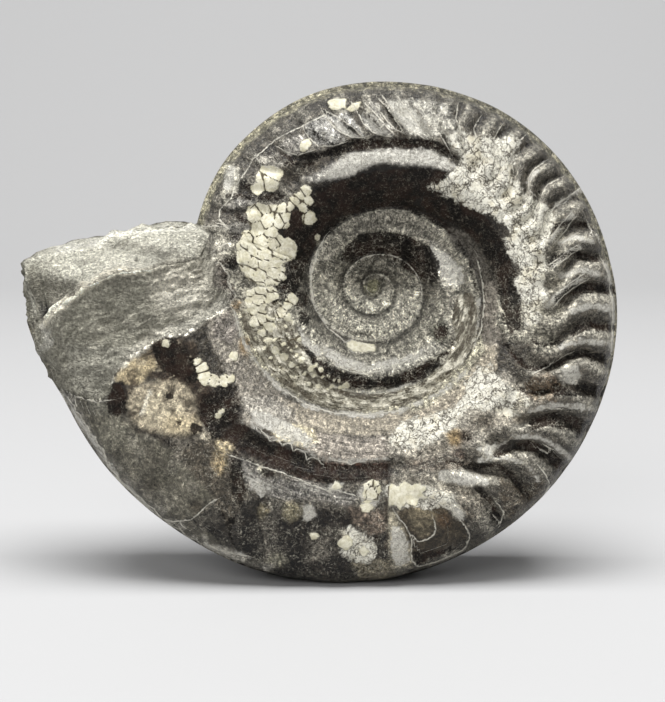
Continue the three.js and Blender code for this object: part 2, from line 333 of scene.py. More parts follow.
end_f[0], end_b[0] = in_f[0], in_b[0]
outer_line = np.concatenate([end_f, end_b[::-1][1:]])
inner_line = np.concatenate([spread(in_f, len(end_f)), spread(in_b, len(end_b))[::-1][1:]])
J = len(outer_line)
m = np.arange(1, MOUTH_ROWS)[:, None] / MOUTH_ROWS
mid = new(np.broadcast_to(m, (MOUTH_ROWS - 1, J - 2)), 0.0, 0.0, 2)
grid = np.empty((MOUTH_ROWS + 1, J), int)
grid[0], grid[-1] = outer_line, inner_line
grid[1:-1, 1:-1] = mid
grid[:, 0], grid[:, -1] = inner_line[0], inner_line[-1]
sheet(grid)

# the whorls inside
for side, cols, base, n_cover, plan in ((-1, COL, front, N_COVER, INNER_FRONT), (1, COLB, back, BACK_COVER, INNER_BACK)):
    outer, first = base[:, 0].copy(), base[0, : n_cover + 1]
    flip = side > 0
    for w, rows in enumerate(plan):
        cols = cols[::2]
        t = cols - 360 * (w + 1)
        q = cover(t)[:, None] * (np.arange(rows)[None, :] / rows)
        g = new(np.broadcast_to(t[:, None], q.shape), q, float(side), 0)
        pick = np.rint(np.linspace(0, len(first) - 1, rows + 1)).astype(int)
        g[-1] = first[pick[:-1]]
        sheet(g, flip)
        halve(outer, g[:, -1], not flip)
        for j in range(rows):
            lo, hi = pick[j], pick[j + 1]
            for k in range(lo, hi - 1):
                f = [first[k + 1], first[hi], first[k]]
                FACES.append(np.array([f if not flip else f[::-1]]))
        first = np.concatenate([g[0], [outer[0]]])
        outer = g[:, 0].copy()
    hub = new(THETA_START, 0.0, float(side), 3)
    loop = np.concatenate([outer, first[:0:-1]])
    nxt = np.roll(loop, -1)
    f = (loop, np.full(len(loop), int(hub)), nxt)
    FACES.append(np.stack(f if not flip else f[::-1], -1))

T, Q, Y, KIND = (np.concatenate(w) for w in (T, Q, Y, KIND))
faces = np.concatenate(FACES)
swap = np.arange(count)
for a, b in alias.items():
    swap[a] = b
faces = swap[faces]
faces = faces[(faces[:, 0] != faces[:, 1]) & (faces[:, 1] != faces[:, 2]) & (faces[:, 0] != faces[:, 2])]

# ---- places of the vertices ---------------------------------------------------------------------------
P = np.zeros((count, 3))
span = keel_r(T) - seam_r(T)
k0 = KIND == 0
y0 = flank_y(T[k0], Q[k0]) + bulge(T[k0], Q[k0])
P[k0] = place(T[k0], seam_r(T[k0]) + span[k0] * Q[k0], Y[k0] * y0, lean_at(Q[k0]))
k1 = KIND == 1
P[k1] = place(T[k1], seam_r(T[k1]) + span[k1] * Q[k1], half_width(T[k1]) * Y[k1], lean_at(Q[k1]))
k3 = KIND == 3
P[k3] = place(T[k3], 0.0 * T[k3], Y[k3] * half_width(T[k3]) * 0.9, 1.0)

# the limestone's top edge, right and down in the tables' plane, from the outer end to the whorl inside
TOP = np.array([(23, 263.5), (30, 261), (40, 257.5), (50, 254), (60, 250.5), (70, 248.5), (88, 246), (95, 242),
                (102, 237.5), (110, 233.5), (115, 231), (130, 228.5), (150, 225.5), (165, 224), (177, 222.5),
                (190, 222), (197, 223.6)], float)


def in_plane(u, v, y=0.0):
    """Millimetres of points seen at (u, v) that lie at depth y, in millimetres."""
    u, v = np.asarray(u, float) - AXIS_U, AXIS_V - np.asarray(v, float)
    dy, dz = COS * EYE_F + SIN * v, -SIN * EYE_F + COS * v
    k = (y / UNIT + EYE_F * COS) / dy
    return np.stack([u * k * UNIT + ORIGIN_X, np.full(u.shape, y), (EYE_F * SIN + dz * k) * UNIT + AXIS_Z], -1)


G = np.empty((MOUTH_ROWS + 1, J, 3))
ss = np.linspace(0, 1, MOUTH_ROWS + 1)
keel_j = len(end_f) - 1
A, B = P[outer_line], P[inner_line]
G[:] = A[None] + (B - A)[None] * ss[:, None, None]
along = np.concatenate([[0], np.cumsum(np.hypot(*np.diff(TOP, axis=0).T))])
tu = np.interp(ss * along[-1], along, TOP[:, 0])
tv = np.interp(ss * along[-1], along, TOP[:, 1])
top_line = in_plane(tu, tv)
top_line[0], top_line[-1] = G[0, keel_j], G[-1, keel_j]
for _ in range(900):
    G[1:-1, 1:-1] = 0.25 * (G[:-2, 1:-1] + G[2:, 1:-1] + G[1:-1, :-2] + G[1:-1, 2:])
    G[:, keel_j] = top_line
P[mid.ravel()] = G[1:-1, 1:-1].reshape(-1, 3)
MOUTH_S = np.full(count, -1.0)
MOUTH_S[mid.ravel()] = np.broadcast_to(m, mid.shape).ravel()


def normals(p, f):
    n = np.cross(p[f[:, 1]] - p[f[:, 0]], p[f[:, 2]] - p[f[:, 0]])
    out = np.zeros_like(p)
    for k in range(3):
        for c in range(3):
            out[:, c] += np.bincount(f[:, k], n[:, c], len(p))
    return out / np.maximum(np.linalg.norm(out, axis=1, keepdims=True), 1e-12)


SMOOTH_N = normals(P, faces)
y0 = y0 + rib_relief(T[k0], Q[k0], Y[k0])
P[k0] = place(T[k0], seam_r(T[k0]) + span[k0] * Q[k0], Y[k0] * y0, lean_at(Q[k0]))
rib1 = np.where(np.abs(Y[k1]) > 0.35, rib_relief(T[k1], Q[k1], Y[k1]) * 0.6, 0)
P[k1] = place(T[k1], seam_r(T[k1]) + span[k1] * Q[k1] + rib1, half_width(T[k1]) * Y[k1], lean_at(Q[k1]))
PAIRS = np.unique(np.sort(np.concatenate([faces[:, [0, 1]], faces[:, [1, 2]], faces[:, [2, 0]]]), 1), axis=0)


def soften(p, weight, times):
    """Draws points towards the middle of their neighbours, as much as their weight says."""
    a, b = PAIRS[:, 0], PAIRS[:, 1]
    n = np.maximum(np.bincount(a, minlength=len(p)) + np.bincount(b, minlength=len(p)), 1)
    for _ in range(times):
        mean = np.stack([np.bincount(a, p[b, c], len(p)) + np.bincount(b, p[a, c], len(p)) for c in range(3)], -1)
        p = p + (mean / n[:, None] - p) * (0.6 * weight)[:, None]
    return p


# the break's edge with the front is worn round
U_, V_ = seen_at(P)
crease = np.zeros(count)
crease[front[-1]] = 1
a_, b_ = PAIRS[:, 0], PAIRS[:, 1]
for _ in range(9):
    crease = np.maximum(crease, 0.86 * np.maximum(np.bincount(a_, crease[b_], count) / 6.0 * 2.2,
                                                 np.bincount(b_, crease[a_], count) / 6.0 * 2.2).clip(0, 1))
crease = np.clip(crease * 1.4, 0, 1) * ((Y <= 0) | (MOUTH_S >= 0)) * (U_ < 196)
crease[(KIND == 1) & (Q > 0.955)] = 0
crease[front[:, -1]] = 0
crease[grid[:, keel_j]] = 0
P = soften(P, crease, 14)
NRM = normals(P, faces)
U_, V_ = seen_at(P)

# ---- shapes laid out on the front, in the tables' plane --------------------------------------------------
BIG = 60.0


def polygon(points, px=None, py=None):
    """Signed distance to a closed outline, negative inside."""
    px = U_ if px is None else px
    py = V_ if py is None else py
    pts = np.array(points, float)
    out = np.full(px.shape, BIG)
    lo, hi = pts.min(0) - 25, pts.max(0) + 25
    near = (px > lo[0]) & (px < hi[0]) & (py > lo[1]) & (py < hi[1])
    x, y = px[near], py[near]
    d = np.full(x.shape, 1e9)
    inside = np.zeros(x.shape, bool)
    for (x0, y0_), (x1, y1) in zip(pts, np.roll(pts, -1, 0)):
        ex, ey = x1 - x0, y1 - y0_
        h = np.clip(((x - x0) * ex + (y - y0_) * ey) / (ex * ex + ey * ey + 1e-9), 0, 1)
        d = np.minimum(d, (x - x0 - ex * h) ** 2 + (y - y0_ - ey * h) ** 2)
        if y0_ != y1:
            cross = ((y0_ > y) != (y1 > y)) & (x < ex * (y - y0_) / ey + x0)
            inside ^= cross
    out[near] = np.sqrt(d) * np.where(inside, -1, 1)
    return out


def path(points, width=1.0, px=None, py=None):
    """Distance to a line, less half its width."""
    px = U_ if px is None else px
    py = V_ if py is None else py
    pts = np.array(points, float)
    out = np.full(px.shape, BIG)
    lo, hi = pts.min(0) - 25, pts.max(0) + 25
    near = (px > lo[0]) & (px < hi[0]) & (py > lo[1]) & (py < hi[1])
    x, y = px[near], py[near]
    d = np.full(x.shape, 1e9)
    for (x0, y0_), (x1, y1) in zip(pts[:-1], pts[1:]):
        ex, ey = x1 - x0, y1 - y0_
        h = np.clip(((x - x0) * ex + (y - y0_) * ey) / (ex * ex + ey * ey + 1e-9), 0, 1)
        d = np.minimum(d, (x - x0 - ex * h) ** 2 + (y - y0_ - ey * h) ** 2)
    out[near] = np.sqrt(d) - width / 2
    return out


def signed_path(points):
    """Distance to a line, below zero on its left."""
    pts = np.array(points, float)
    out = np.full(U_.shape, BIG)
    lo, hi = pts.min(0) - 12, pts.max(0) + 12
    near = (U_ > lo[0]) & (U_ < hi[0]) & (V_ > lo[1]) & (V_ < hi[1])
    x, y = U_[near], V_[near]
    d, side = np.full(x.shape, 1e9), np.ones(x.shape)
    for (x0, y0_), (x1, y1) in zip(pts[:-1], pts[1:]):
        ex, ey = x1 - x0, y1 - y0_
        h = np.clip(((x - x0) * ex + (y - y0_) * ey) / (ex * ex + ey * ey + 1e-9), 0, 1)
        e = (x - x0 - ex * h) ** 2 + (y - y0_ - ey * h) ** 2
        nearer = e < d
        d = np.where(nearer, e, d)
        side = np.where(nearer, np.where(ex * (y - y0_) - ey * (x - x0) < 0, -1, 1), side)
    out[near] = np.sqrt(d) * side
    return out


def inside(outline, px, py):
    return bool(polygon(outline, np.array([px], float), np.array([py], float))[0] < 0)


def cells(discs, masses):
    """Distance to the union of blunt cells, and how far a point is from the border of two of them."""
    union, first, second = np.full(count, BIG), np.full(count, BIG), np.full(count, BIG)
    wx = 1.6 * fbm(P[:, 0] * 0.8, P[:, 2] * 0.8, P[:, 1] * 0.2, 3, 61)
    wy = 1.6 * fbm(P[:, 0] * 0.8, P[:, 2] * 0.8, P[:, 1] * 0.2, 3, 62)
    for n, (cx, cy, r) in enumerate(discs):
        near = (np.abs(U_ - cx) < r + 25) & (np.abs(V_ - cy) < r + 25)
        x, y = U_[near] - cx, V_[near] - cy
        sides = 7 + n % 3
        d = np.full(x.shape, -1e9)
        for k in range(sides):
            turn = 2 * math.pi * (k + 0.35 * math.sin(7.3 * n + 2.1 * k)) / sides + 1.7 * n
            reach = r * (1.06 + 0.12 * math.sin(3.7 * n + 5.3 * k))
            d = np.maximum(d, x * math.cos(turn) + y * math.sin(turn) - reach)
        union[near] = np.minimum(union[near], 0.6 * d + 0.4 * (np.hypot(x, y) - r))
    seeds = [(cx, cy) for cx, cy, r in discs if 2.9 < r < 9 and not any(inside(m, cx, cy) for m in masses)]
    chance = np.random.RandomState(11)
    for m in masses:
        lo, hi = np.min(m, 0) - 3, np.max(m, 0) + 3
        for _ in range(500):
            sx, sy = lo + (hi - lo) * chance.rand(2)
            if all((sx - c) ** 2 + (sy - d) ** 2 > 9.0 ** 2 for c, d in seeds):
                seeds.append((sx, sy))
    for n, (cx, cy) in enumerate(seeds):
        near = (np.abs(U_ - cx) < 40) & (np.abs(V_ - cy) < 40)
        e = np.hypot(U_[near] - cx + wx[near], V_[near] - cy + wy[near])
        a, b = first[near], second[near]
        second[near] = np.where(e < a, a, np.minimum(b, e))
        first[near] = np.minimum(a, e)
    return union, np.where(first > 0.5 * BIG, 6.0, second - first)


# cream shell patches, as clusters of round cells
CREAM = [
    (258, 215, 11), (279.5, 215, 10.5), (267, 225.5, 8), (284, 223.5, 5), (284, 206.5, 4), (290, 206.5, 4.5),
    (295.7, 200.7, 6), (306, 191, 5.5), (308, 200.7, 5.5), (303.3, 207.4, 4.5), (299.5, 196, 4),
    (308.6, 218, 6.8), (287, 247.6, 9), (290, 254.3, 6), (246.9, 234.2, 4.5), (247.8, 241, 5.5),
    (255.5, 231.3, 3), (267, 238, 11), (261, 246.6, 12), (253.6, 251.4, 8), (241, 246.6, 5), (273.7, 241.9, 7),
    (268.9, 255.3, 8), (243, 260, 6), (252.6, 262.9, 5.5), (267, 268.6, 9.5), (280.4, 269.6, 4.5),
    (274.6, 273.4, 6), (254.5, 275.4, 6.5), (246.9, 272, 2), (264, 281, 5), (275, 280, 5), (283, 277.3, 3),
    (258.4, 293.5, 7), (270.8, 293.5, 6), (291.9, 300, 6), (288, 306, 4), (269, 177.7, 12), (257.4, 188.3, 6),
    (271.8, 185.4, 6), (276.5, 173, 6), (250, 303, 5), (263, 302, 6), (282, 313, 6),
    (288, 317, 4), (262, 318, 8), (254, 322, 5), (270, 327, 5), (262, 333, 4), (268, 341, 4), (276, 350, 4),
    (284, 357, 4), (292, 364, 3.5), 
    (201, 367, 6), (205, 378, 7), (214, 381, 6), (224, 381, 6), (231, 379, 3.5), (198, 362, 4),
    (234, 356, 4.6), (166, 343, 4), (218, 415, 3), (222, 411, 2.5)]
MASSES = [[(247, 210), (262, 204), (280, 205), (290, 212), (289, 224), (277, 231), (290, 244), (297, 250), (293, 259),
              (283, 264), (284, 276), (274, 284), (262, 286), (250, 281), (241, 270), (236, 254), (240, 238), (252, 229), (247, 218)],
             [(246, 290), (260, 286), (276, 288), (280, 298), (268, 303), (262, 318), (253, 322), (246, 306)],
             [(362, 484), (372, 479), (379, 481), (381, 490), (378, 500), (368, 503), (361, 497), (364, 491)]]
SHARDS = [[(327, 101), (336, 98), (347, 99), (346, 107), (337, 111), (329, 108)], [(347, 110), (353, 102), (361, 102), (359, 109), (352, 112)],
          [(299, 149), (301, 141), (309, 139), (312, 144), (308, 150), (302, 152)], [(329, 489), (333, 484), (335, 479), (339, 482), (343, 488), (336, 490)],
          [(308, 533), (316, 532), (320, 537), (312, 539)], [(360, 505), (368, 502), (374, 507), (368, 513), (362, 511)],
          [(345, 344), (352, 340), (366, 343), (376, 345), (375, 351), (362, 353), (350, 350)],
          [(337, 541), (344, 535), (351, 537), (353, 545), (346, 550), (339, 547)], [(358, 549), (365, 545), (370, 552), (363, 558)],
          [(284, 246), (288, 239), (295, 241), (298, 249), (293, 257), (285, 254)], [(314, 236), (318, 233), (321, 238), (317, 243)],
          [(388, 488), (392, 483), (399, 486), (404, 481), (412, 485), (419, 483), (428, 488), (422, 493), (429, 498),
           (419, 500), (415, 507), (406, 503), (400, 510), (394, 504), (388, 507)]]
CRUMBS = [(246, 290), (278, 300), (292, 316), (296, 334), (308, 356), (330, 376), (352, 386), (340, 394), (316, 390),
          (292, 378), (272, 360), (256, 338), (245, 316)]
chance = np.random.RandomState(5)
for _ in range(900):
    cx, cy, r = 244 + 110 * chance.rand(), 288 + 108 * chance.rand(), 1.6 + 2.6 * chance.rand() ** 2
    if inside(CRUMBS, cx, cy) and all(math.hypot(cx - a, cy - b) > r + c + 1.2 for a, b, c in CREAM) and len(CREAM) < 150:
        CREAM.append((cx, cy, r))
cream_sd, cream_edge = cells(CREAM, MASSES)
for mass in MASSES + SHARDS:
    cream_sd = np.minimum(cream_sd, polygon(mass))
for shard in SHARDS:
    cream_edge = np.where(polygon(shard) < 1.5, 6.0, cream_edge)
upright = path([(388, 461), (388, 480), (386, 510), (388, 532), (386, 548)])
cream_edge = np.minimum(cream_edge, upright)

# the cream band of broken shell on the right, and other crackled shell
BAND = [(427, 187), (442, 180), (456, 170), (462, 160), (452, 148), (446, 134), (460, 131), (476, 134), (490, 134),
        (500, 140), (512, 134), (520, 142), (518, 158), (512, 172), (522, 190), (535, 200), (548, 206), (556, 214),
        (552, 230), (545, 250), (548, 270), (543, 290), (548, 300), (540, 318), (532, 330), (524, 326), (520, 310),
        (522, 296), (514, 282), (520, 270), (510, 256), (504, 240), (508, 228), (496, 218), (478, 212), (462, 204),
        (448, 196), (440, 192)]
CRACKLE = [
    BAND,
    [(388, 432), (404, 420), (425, 413), (448, 408), (462, 398), (464, 380), (476, 366), (492, 362), (500, 376),
     (512, 384), (526, 394), (534, 406), (520, 414), (508, 424), (486, 412), (470, 410), (458, 424), (440, 440),
     (424, 452), (400, 452), (388, 446)],
    [(384, 486), (404, 484), (430, 488), (452, 494), (456, 505), (434, 509), (405, 508), (388, 504)],
    [(338, 530), (352, 527), (366, 533), (377, 545), (374, 560), (356, 562), (342, 552)],
]
crackle_sd = np.min([polygon(w) + 2.2 * (n == 1) for n, w in enumerate(CRACKLE)], 0)

# black calcite: areas, strokes with their widths, and spots
BLACK_AREAS = [
    [(291, 216), (300, 204), (312, 196), (318, 188), (330, 183), (350, 178), (372, 172), (395, 169), (420, 169),
     (440, 171), (455, 176), (440, 184), (428, 190), (420, 198), (412, 204), (430, 215), (445, 222), (458, 238),
     (440, 228), (420, 214), (395, 207), (373, 210), (350, 215), (334, 227), (320, 240), (312, 252), (306, 266),
     (300, 284), (292, 280), (290, 262), (288, 240), (286, 226)],
    [(420, 204), (424, 192), (436, 185), (450, 185), (462, 193), (470, 200), (482, 212), (495, 229), (504, 241),
     (512, 266), (520, 285), (523, 307), (521, 328), (510, 336), (503, 320), (500, 300), (494, 270), (484, 250),
     (470, 236), (455, 224), (440, 217), (428, 213)],
    [(345, 141), (362, 139), (390, 139), (420, 139), (436, 141), (448, 147), (457, 157), (452, 160), (440, 152),
     (424, 148), (395, 148), (365, 150), (345, 153), (325, 158), (300, 161), (285, 159), (278, 152), (292, 156),
     (315, 154), (330, 150), (338, 145)],
    [(222, 426), (245, 424), (258, 432), (272, 440), (290, 446), (306, 454), (322, 462), (345, 465), (388, 462),
     (388, 478), (362, 481), (330, 483), (300, 478), (272, 465), (250, 452), (226, 442)],
    [(340, 260), (346, 246), (358, 236), (375, 232), (400, 233), (418, 239), (430, 248), (438, 262), (440, 278),
     (432, 284), (422, 281), (410, 273), (400, 264), (388, 258), (373, 255), (360, 257), (350, 264)],
    [(286, 330), (296, 336), (306, 346), (320, 360), (345, 372), (375, 380), (400, 374), (432, 359), (441, 366),
     (420, 381), (390, 388), (350, 388), (325, 382), (306, 367), (292, 352), (286, 342)],
    [(110, 384), (120, 382), (127, 394), (125, 412), (118, 418), (108, 412), (106, 402)],
    [(150, 342), (166, 336), (176, 340), (186, 350), (196, 362), (200, 380), (190, 384), (176, 378), (160, 370), (154, 356)],
    [(200, 396), (222, 386), (236, 388), (240, 402), (238, 420), (246, 428), (226, 444), (212, 436), (200, 420)],
    [(234, 448), (238, 452), (242, 470), (246, 492), (240, 506), (230, 490), (230, 466)],
    [(411, 552), (440, 549), (462, 546), (446, 554), (418, 565)],
]
BLACK_STROKES = [
    ([(548, 235), (558, 226), (573, 223), (590, 226)], 6), ([(546, 267), (557, 258), (575, 254), (596, 260)], 6),
    ([(560, 300), (572, 291), (590, 287), (611, 290)], 9), ([(574, 332), (590, 325), (611, 328)], 8),
    ([(506, 346), (514, 356), (526, 367), (540, 370), (556, 365), (570, 356), (588, 354), (604, 360)], 5.5),
    ([(520, 389), (534, 393), (548, 391)], 5), ([(556, 390), (580, 390), (601, 391)], 12),
    ([(536, 423), (552, 420), (572, 423), (590, 428)], 14), ([(498, 453), (512, 445), (532, 446), (548, 454), (560, 466)], 10),
    ([(446, 462), (472, 467), (498, 466), (512, 476), (526, 495)], 5), ([(478, 490), (490, 500), (497, 518)], 5),
    ([(237, 216), (244, 221), (254, 221)], 6), ([(226, 196), (238, 195), (250, 198)], 4),
    ([(248, 186), (262, 197), (282, 197)], 6), ([(224, 236), (236, 238), (246, 236)], 4), ([(220, 262), (232, 266), (240, 262)], 5),
    ([(284, 162), (300, 165), (312, 164)], 4), ([(341, 117), (347, 124), (356, 132)], 3.4), ([(362, 106), (370, 118), (382, 128)], 3),
    ([(384, 104), (392, 116), (402, 128)], 3), ([(312, 128), (320, 137), (332, 143)], 2.4), ([(532, 340), (545, 346), (560, 342)], 4),
    ([(516, 186), (510, 180), (500, 176)], 3), ([(520, 222), (532, 226), (542, 220)], 4), ([(524, 250), (534, 246), (546, 250)], 4),
    ([(480, 346), (478, 330), (483, 300)], 1.6), ([(456, 340), (448, 352), (436, 360)], 4), ([(446, 376), (436, 382), (424, 386)], 3),
    ([(422, 374), (410, 380), (398, 384)], 3), ([(476, 290), (470, 262), (456, 238), (438, 222)], 1.8), ([(218, 502), (224, 516), (229, 530), (233, 544)], 1.5),
]
BLACK_SPOTS = [(290, 233, 7), (301, 248, 8), (296, 264, 6), (290, 284, 9), (300, 300, 9), (276, 301, 5), (441, 333, 8),
               (232, 264, 6), (376, 538, 4), (284, 336, 5), (298, 356, 4), (272, 322, 3), (312, 374, 4), (262, 346, 4), (322, 386, 3), (342, 391, 3), (300, 224, 7), (304, 318, 6), (268, 470, 7), (180, 424, 3),
               (196, 428, 6), (170, 396, 4), (232, 520, 4), (466, 436, 4), (396, 140, 3)]
black_sd = np.minimum(np.min([polygon(w) for w in BLACK_AREAS], 0), np.min([path(p, w) for p, w in BLACK_STROKES], 0))
for cx, cy, r in BLACK_SPOTS:
    black_sd = np.minimum(black_sd, np.hypot(U_ - cx, V_ - cy) - r)

# pale calcite; its first area, the band on the top's shoulder, is a painted highlight, and the strokes along the rib
# crests and the right rim's edge are partly painted highlights
PALE_AREAS = [
    [(350, 153), (390, 150), (430, 150), (446, 158), (456, 166), (448, 170), (430, 165), (400, 162), (374, 164),
     (354, 173), (336, 178), (322, 178), (330, 168), (340, 160)],
    [(328, 117), (338, 122), (350, 130), (360, 137), (350, 136), (338, 130)], [(366, 108), (376, 118), (390, 134), (378, 134), (370, 124), (362, 112)],
    [(388, 102), (404, 104), (424, 118), (436, 133), (420, 136), (404, 128), (394, 116)],
    [(248, 408), (262, 410), (282, 420), (300, 428), (312, 438), (318, 450), (300, 444), (276, 436), (258, 424)],
    [(246, 476), (258, 480), (268, 492), (262, 498), (250, 488)], [(436, 471), (450, 474), (474, 478), (486, 483), (462, 485), (440, 481)],
    [(384, 487), (404, 484), (430, 488), (452, 494), (458, 504), (436, 508), (405, 507), (388, 503)],
    [(476, 450), (492, 444), (508, 441), (524, 439), (508, 449), (490, 456)], [(430, 246), (446, 254), (462, 268), (464, 284), (448, 286), (436, 268)],
    [(322, 344), (345, 358), (370, 364), (400, 358), (428, 346), (418, 358), (394, 367), (366, 373), (340, 367), (326, 356)],
    [(562, 368), (576, 366), (582, 376), (574, 385), (564, 382)], [(228, 164), (236, 168), (234, 184), (226, 196), (224, 186)],
    [(392, 524), (400, 528), (408, 544), (410, 562), (398, 568), (390, 550)], [(345, 341), (352, 338), (366, 344), (366, 352), (352, 352)],
    [(286, 326), (298, 328), (312, 342), (326, 354), (318, 358), (302, 346), (290, 336)], [(330, 484), (344, 482), (340, 492), (330, 490)],
    [(362, 484), (376, 482), (380, 500), (372, 512), (362, 504), (358, 492)], [(300, 506), (312, 504), (316, 516), (306, 522)],
    [(448, 132), (462, 130), (470, 140), (462, 150), (452, 144)],
]
PALE_STROKES = [
    ([(549, 240), (560, 228), (573, 215)], 5), ([(551, 264), (564, 256), (579, 247)], 4.5),
    ([(547, 306), (562, 294), (584, 277)], 4.5), ([(526, 182), (538, 171)], 4), ([(553, 206), (580, 190)], 3),
    ([(558, 243), (574, 238), (592, 241)], 5), ([(560, 276), (580, 271), (604, 275)], 6), ([(572, 311), (590, 306), (610, 309)], 6),
    ([(562, 346), (584, 341), (604, 343)], 5), ([(530, 410), (556, 405), (592, 409)], 5), ([(514, 437), (536, 437), (556, 446), (570, 458)], 5),
    ([(480, 461), (502, 457), (524, 463), (538, 480)], 4), ([(606, 264), (611, 290), (613, 320), (612, 350)], 3),
    ([(420, 488), (438, 493), (452, 503), (461, 516)], 6), ([(441, 474), (462, 475), (486, 482)], 7),
    ([(252, 428), (262, 434), (275, 444), (290, 448), (303, 452), (313, 462)], 3.4), ([(318, 458), (340, 461), (388, 459)], 2.2), ([(262, 430), (272, 437), (288, 441), (304, 447), (316, 456)], 2.6),
    ([(244, 420), (256, 421), (268, 428), (282, 437)], 2.4), ([(330, 459), (350, 463), (366, 461)], 2.4),
    ([(300, 484), (318, 490), (340, 498)], 2.4), ([(246, 468), (258, 480), (272, 488)], 3), ([(224, 430), (236, 424), (250, 422)], 2.4),
    ([(205, 545), (226, 551), (248, 557)], 4), ([(60, 392), (90, 436), (120, 480), (160, 520)], 3),
    ([(478, 300), (477, 324), (470, 344), (456, 362)], 4), ([(428, 372), (412, 382), (390, 392), (352, 394)], 4),
    ([(234, 311), (243, 341), (259, 366), (282, 389), (307, 405), (334, 413), (366, 415), (400, 411), (440, 394), (466, 372)], 4),
]
pale_sd = np.minimum(np.min([polygon(w) for w in PALE_AREAS], 0), np.min([path(p, w) for p, w in PALE_STROKES], 0))

# broken grains along the seam
RUBBLE = [(240, 302), (262, 300), (282, 304), (290, 318), (300, 334), (304, 350), (316, 372), (334, 386), (360, 394),
          (396, 392), (426, 380), (446, 362), (456, 340), (452, 316), (458, 296), (472, 292), (478, 312), (475, 340),
          (462, 364), (436, 392), (404, 406), (366, 411), (330, 408), (304, 399), (284, 386), (264, 364), (250, 342), (242, 322)]
rubble_sd = polygon(RUBBLE)

# pale suture lines, seams and rims of worn shell; the lines along the rib crests and the right rim's edge on the right
# are partly painted highlights
LINES = [
    [(325, 115), (300, 127), (275, 140), (252, 160), (250, 166), (242, 177), (234.4, 187.3), (231.6, 198),
     (222, 207.4), (219, 211), (219.6, 221), (227, 226), (225.4, 234)],
    [(200, 226.5), (227, 226.5)], [(199, 264), (217, 248), (228, 243)],
    [(234, 311), (238, 326), (243, 341), (259, 366.5), (281.7, 389), (306.7, 405), (334, 413), (366, 415), (400, 411)],
    [(323.4, 240), (313, 258), (310, 269.6), (310, 284), (311.5, 299.3), (316, 310), (328, 328), (345, 342)],
    [(164, 519), (173, 522), (190, 520), (200, 513), (207, 505), (216, 500)],
    [(68, 397), (70, 402), (74, 405), (76, 412), (80, 414), (83, 422), (88, 427), (90, 434), (95, 437), (98, 445), (103, 449),
     (105, 458), (109, 462), (111, 470), (117, 475), (121, 482), (127, 486), (134, 494), (141, 498), (147, 505), (154, 509),
     (160, 517), (164, 519)], [(164, 519), (172, 527), (180, 529), (187, 537), (197, 540), (204, 548)],
    [(104, 453), (107, 465), (115, 477), (124, 488)], [(136, 498), (147, 509), (160, 520)],
    [(324, 113), (331, 124), (340, 132), (352, 137), (364, 138), (354, 128), (340, 118), (327, 112)],
    [(303, 128), (309, 138), (318, 146), (332, 146), (343, 143)],
    [(352, 104), (358, 113), (364, 124), (374, 133), (390, 137), (394, 134), (384, 124), (372, 110), (364, 103)],
    [(369, 100), (378, 108), (386, 120), (396, 130), (404, 133), (396, 120), (386, 106), (378, 98)],
    [(383, 97), (396, 116), (408, 130), (424, 138)], [(398, 97), (410, 113), (420, 127), (436, 135)],
    [(412, 98), (424, 112), (434, 124), (444, 130)], [(420, 104), (428, 122), (440, 134), (448, 148)],
    [(278, 147), (286, 152), (298, 155), (310, 151)], [(255, 156), (262, 166), (274, 168)],
    [(394, 510), (399, 519), (404, 524), (409, 532), (412, 541), (411, 552), (412, 561), (418, 567), (436, 562),
     (452, 556), (465, 549), (470, 536), (466, 527), (459, 519), (452, 511), (445, 507), (431, 499), (420, 497)],
    [(412, 535), (418, 542), (427, 540), (434, 535), (436, 528), (434, 521)],
    [(262, 432), (267, 436), (270, 441), (277, 440), (283, 446), (286, 443), (291, 444), (293, 451), (298, 449), (305, 452),
     (307, 460), (311, 457), (318, 459), (321, 463)], [(334, 461), (345, 462), (351, 465), (358, 462)],
    [(231, 456), (246, 460), (262, 467), (280, 472), (300, 480), (318, 487), (331, 493)],
    [(524, 137), (515, 145), (511, 157), (513, 170)], [(545, 162), (535, 168), (528, 178), (529, 190), (536, 196)],
    [(578, 190), (566, 198), (556, 205), (549, 214)], [(560, 178), (548, 184), (542, 193)],
    [(500, 128), (494, 138), (494, 150)], [(480, 118), (474, 128), (476, 138)], [(458, 106), (456, 118), (460, 130)],
    [(588, 222), (592, 230), (589, 238), (597, 234), (599, 240)], [(603, 262), (609, 276), (612, 300), (613, 330), (611, 352)],
    [(55, 386), (75, 396), (96, 402), (110, 400)], [(128, 356), (120, 366), (113, 376), (111, 386)],
    [(200, 318), (214, 312), (229, 307)], [(213, 264), (220, 262), (224, 270), (230, 275), (227, 282), (231, 290)],
    [(478, 262), (482, 280), (484, 305), (481, 330), (474, 346)],
    [(328, 488), (350, 494), (372, 500)], [(540, 467), (545, 474), (550, 484), (544, 496)],
    [(497, 503), (504, 512), (500, 524), (494, 516)], [(545, 446), (552, 450), (548, 454), (541, 450)],
    [(536, 372), (549, 366), (563, 357), (572, 353)], [(530, 412), (545, 408), (560, 409)],
    [(336, 366), (350, 371), (364, 374), (380, 371), (392, 366), (404, 362), (417, 355)],
    [(551, 238), (560, 226), (571, 213)], [(556, 241), (566, 230), (575, 218)], [(550, 263), (563, 254), (578, 245)],
    [(555, 266), (568, 258), (580, 249)], [(547, 304), (558, 293), (570, 283), (583, 275)],
    [(552, 308), (565, 296), (578, 286), (586, 280)],
    [(232, 300), (236, 296), (231, 286)], [(205, 543), (216, 549), (232, 553), (247, 556)],
]
line_at = np.full(count, BIG)
for pts in LINES:
    one = signed_path(pts)
    line_at = np.where(np.abs(one) < np.abs(line_at), one, line_at)

thread = (Q / cover(T) - 0.93) * (seam_r(T + 360) - seam_r(T))
on_thread = (T < -500) & (T > -1150) & (Y < 0)
line_at = np.where(on_thread & (np.abs(thread) < np.abs(line_at)), 0.7 * thread, line_at)

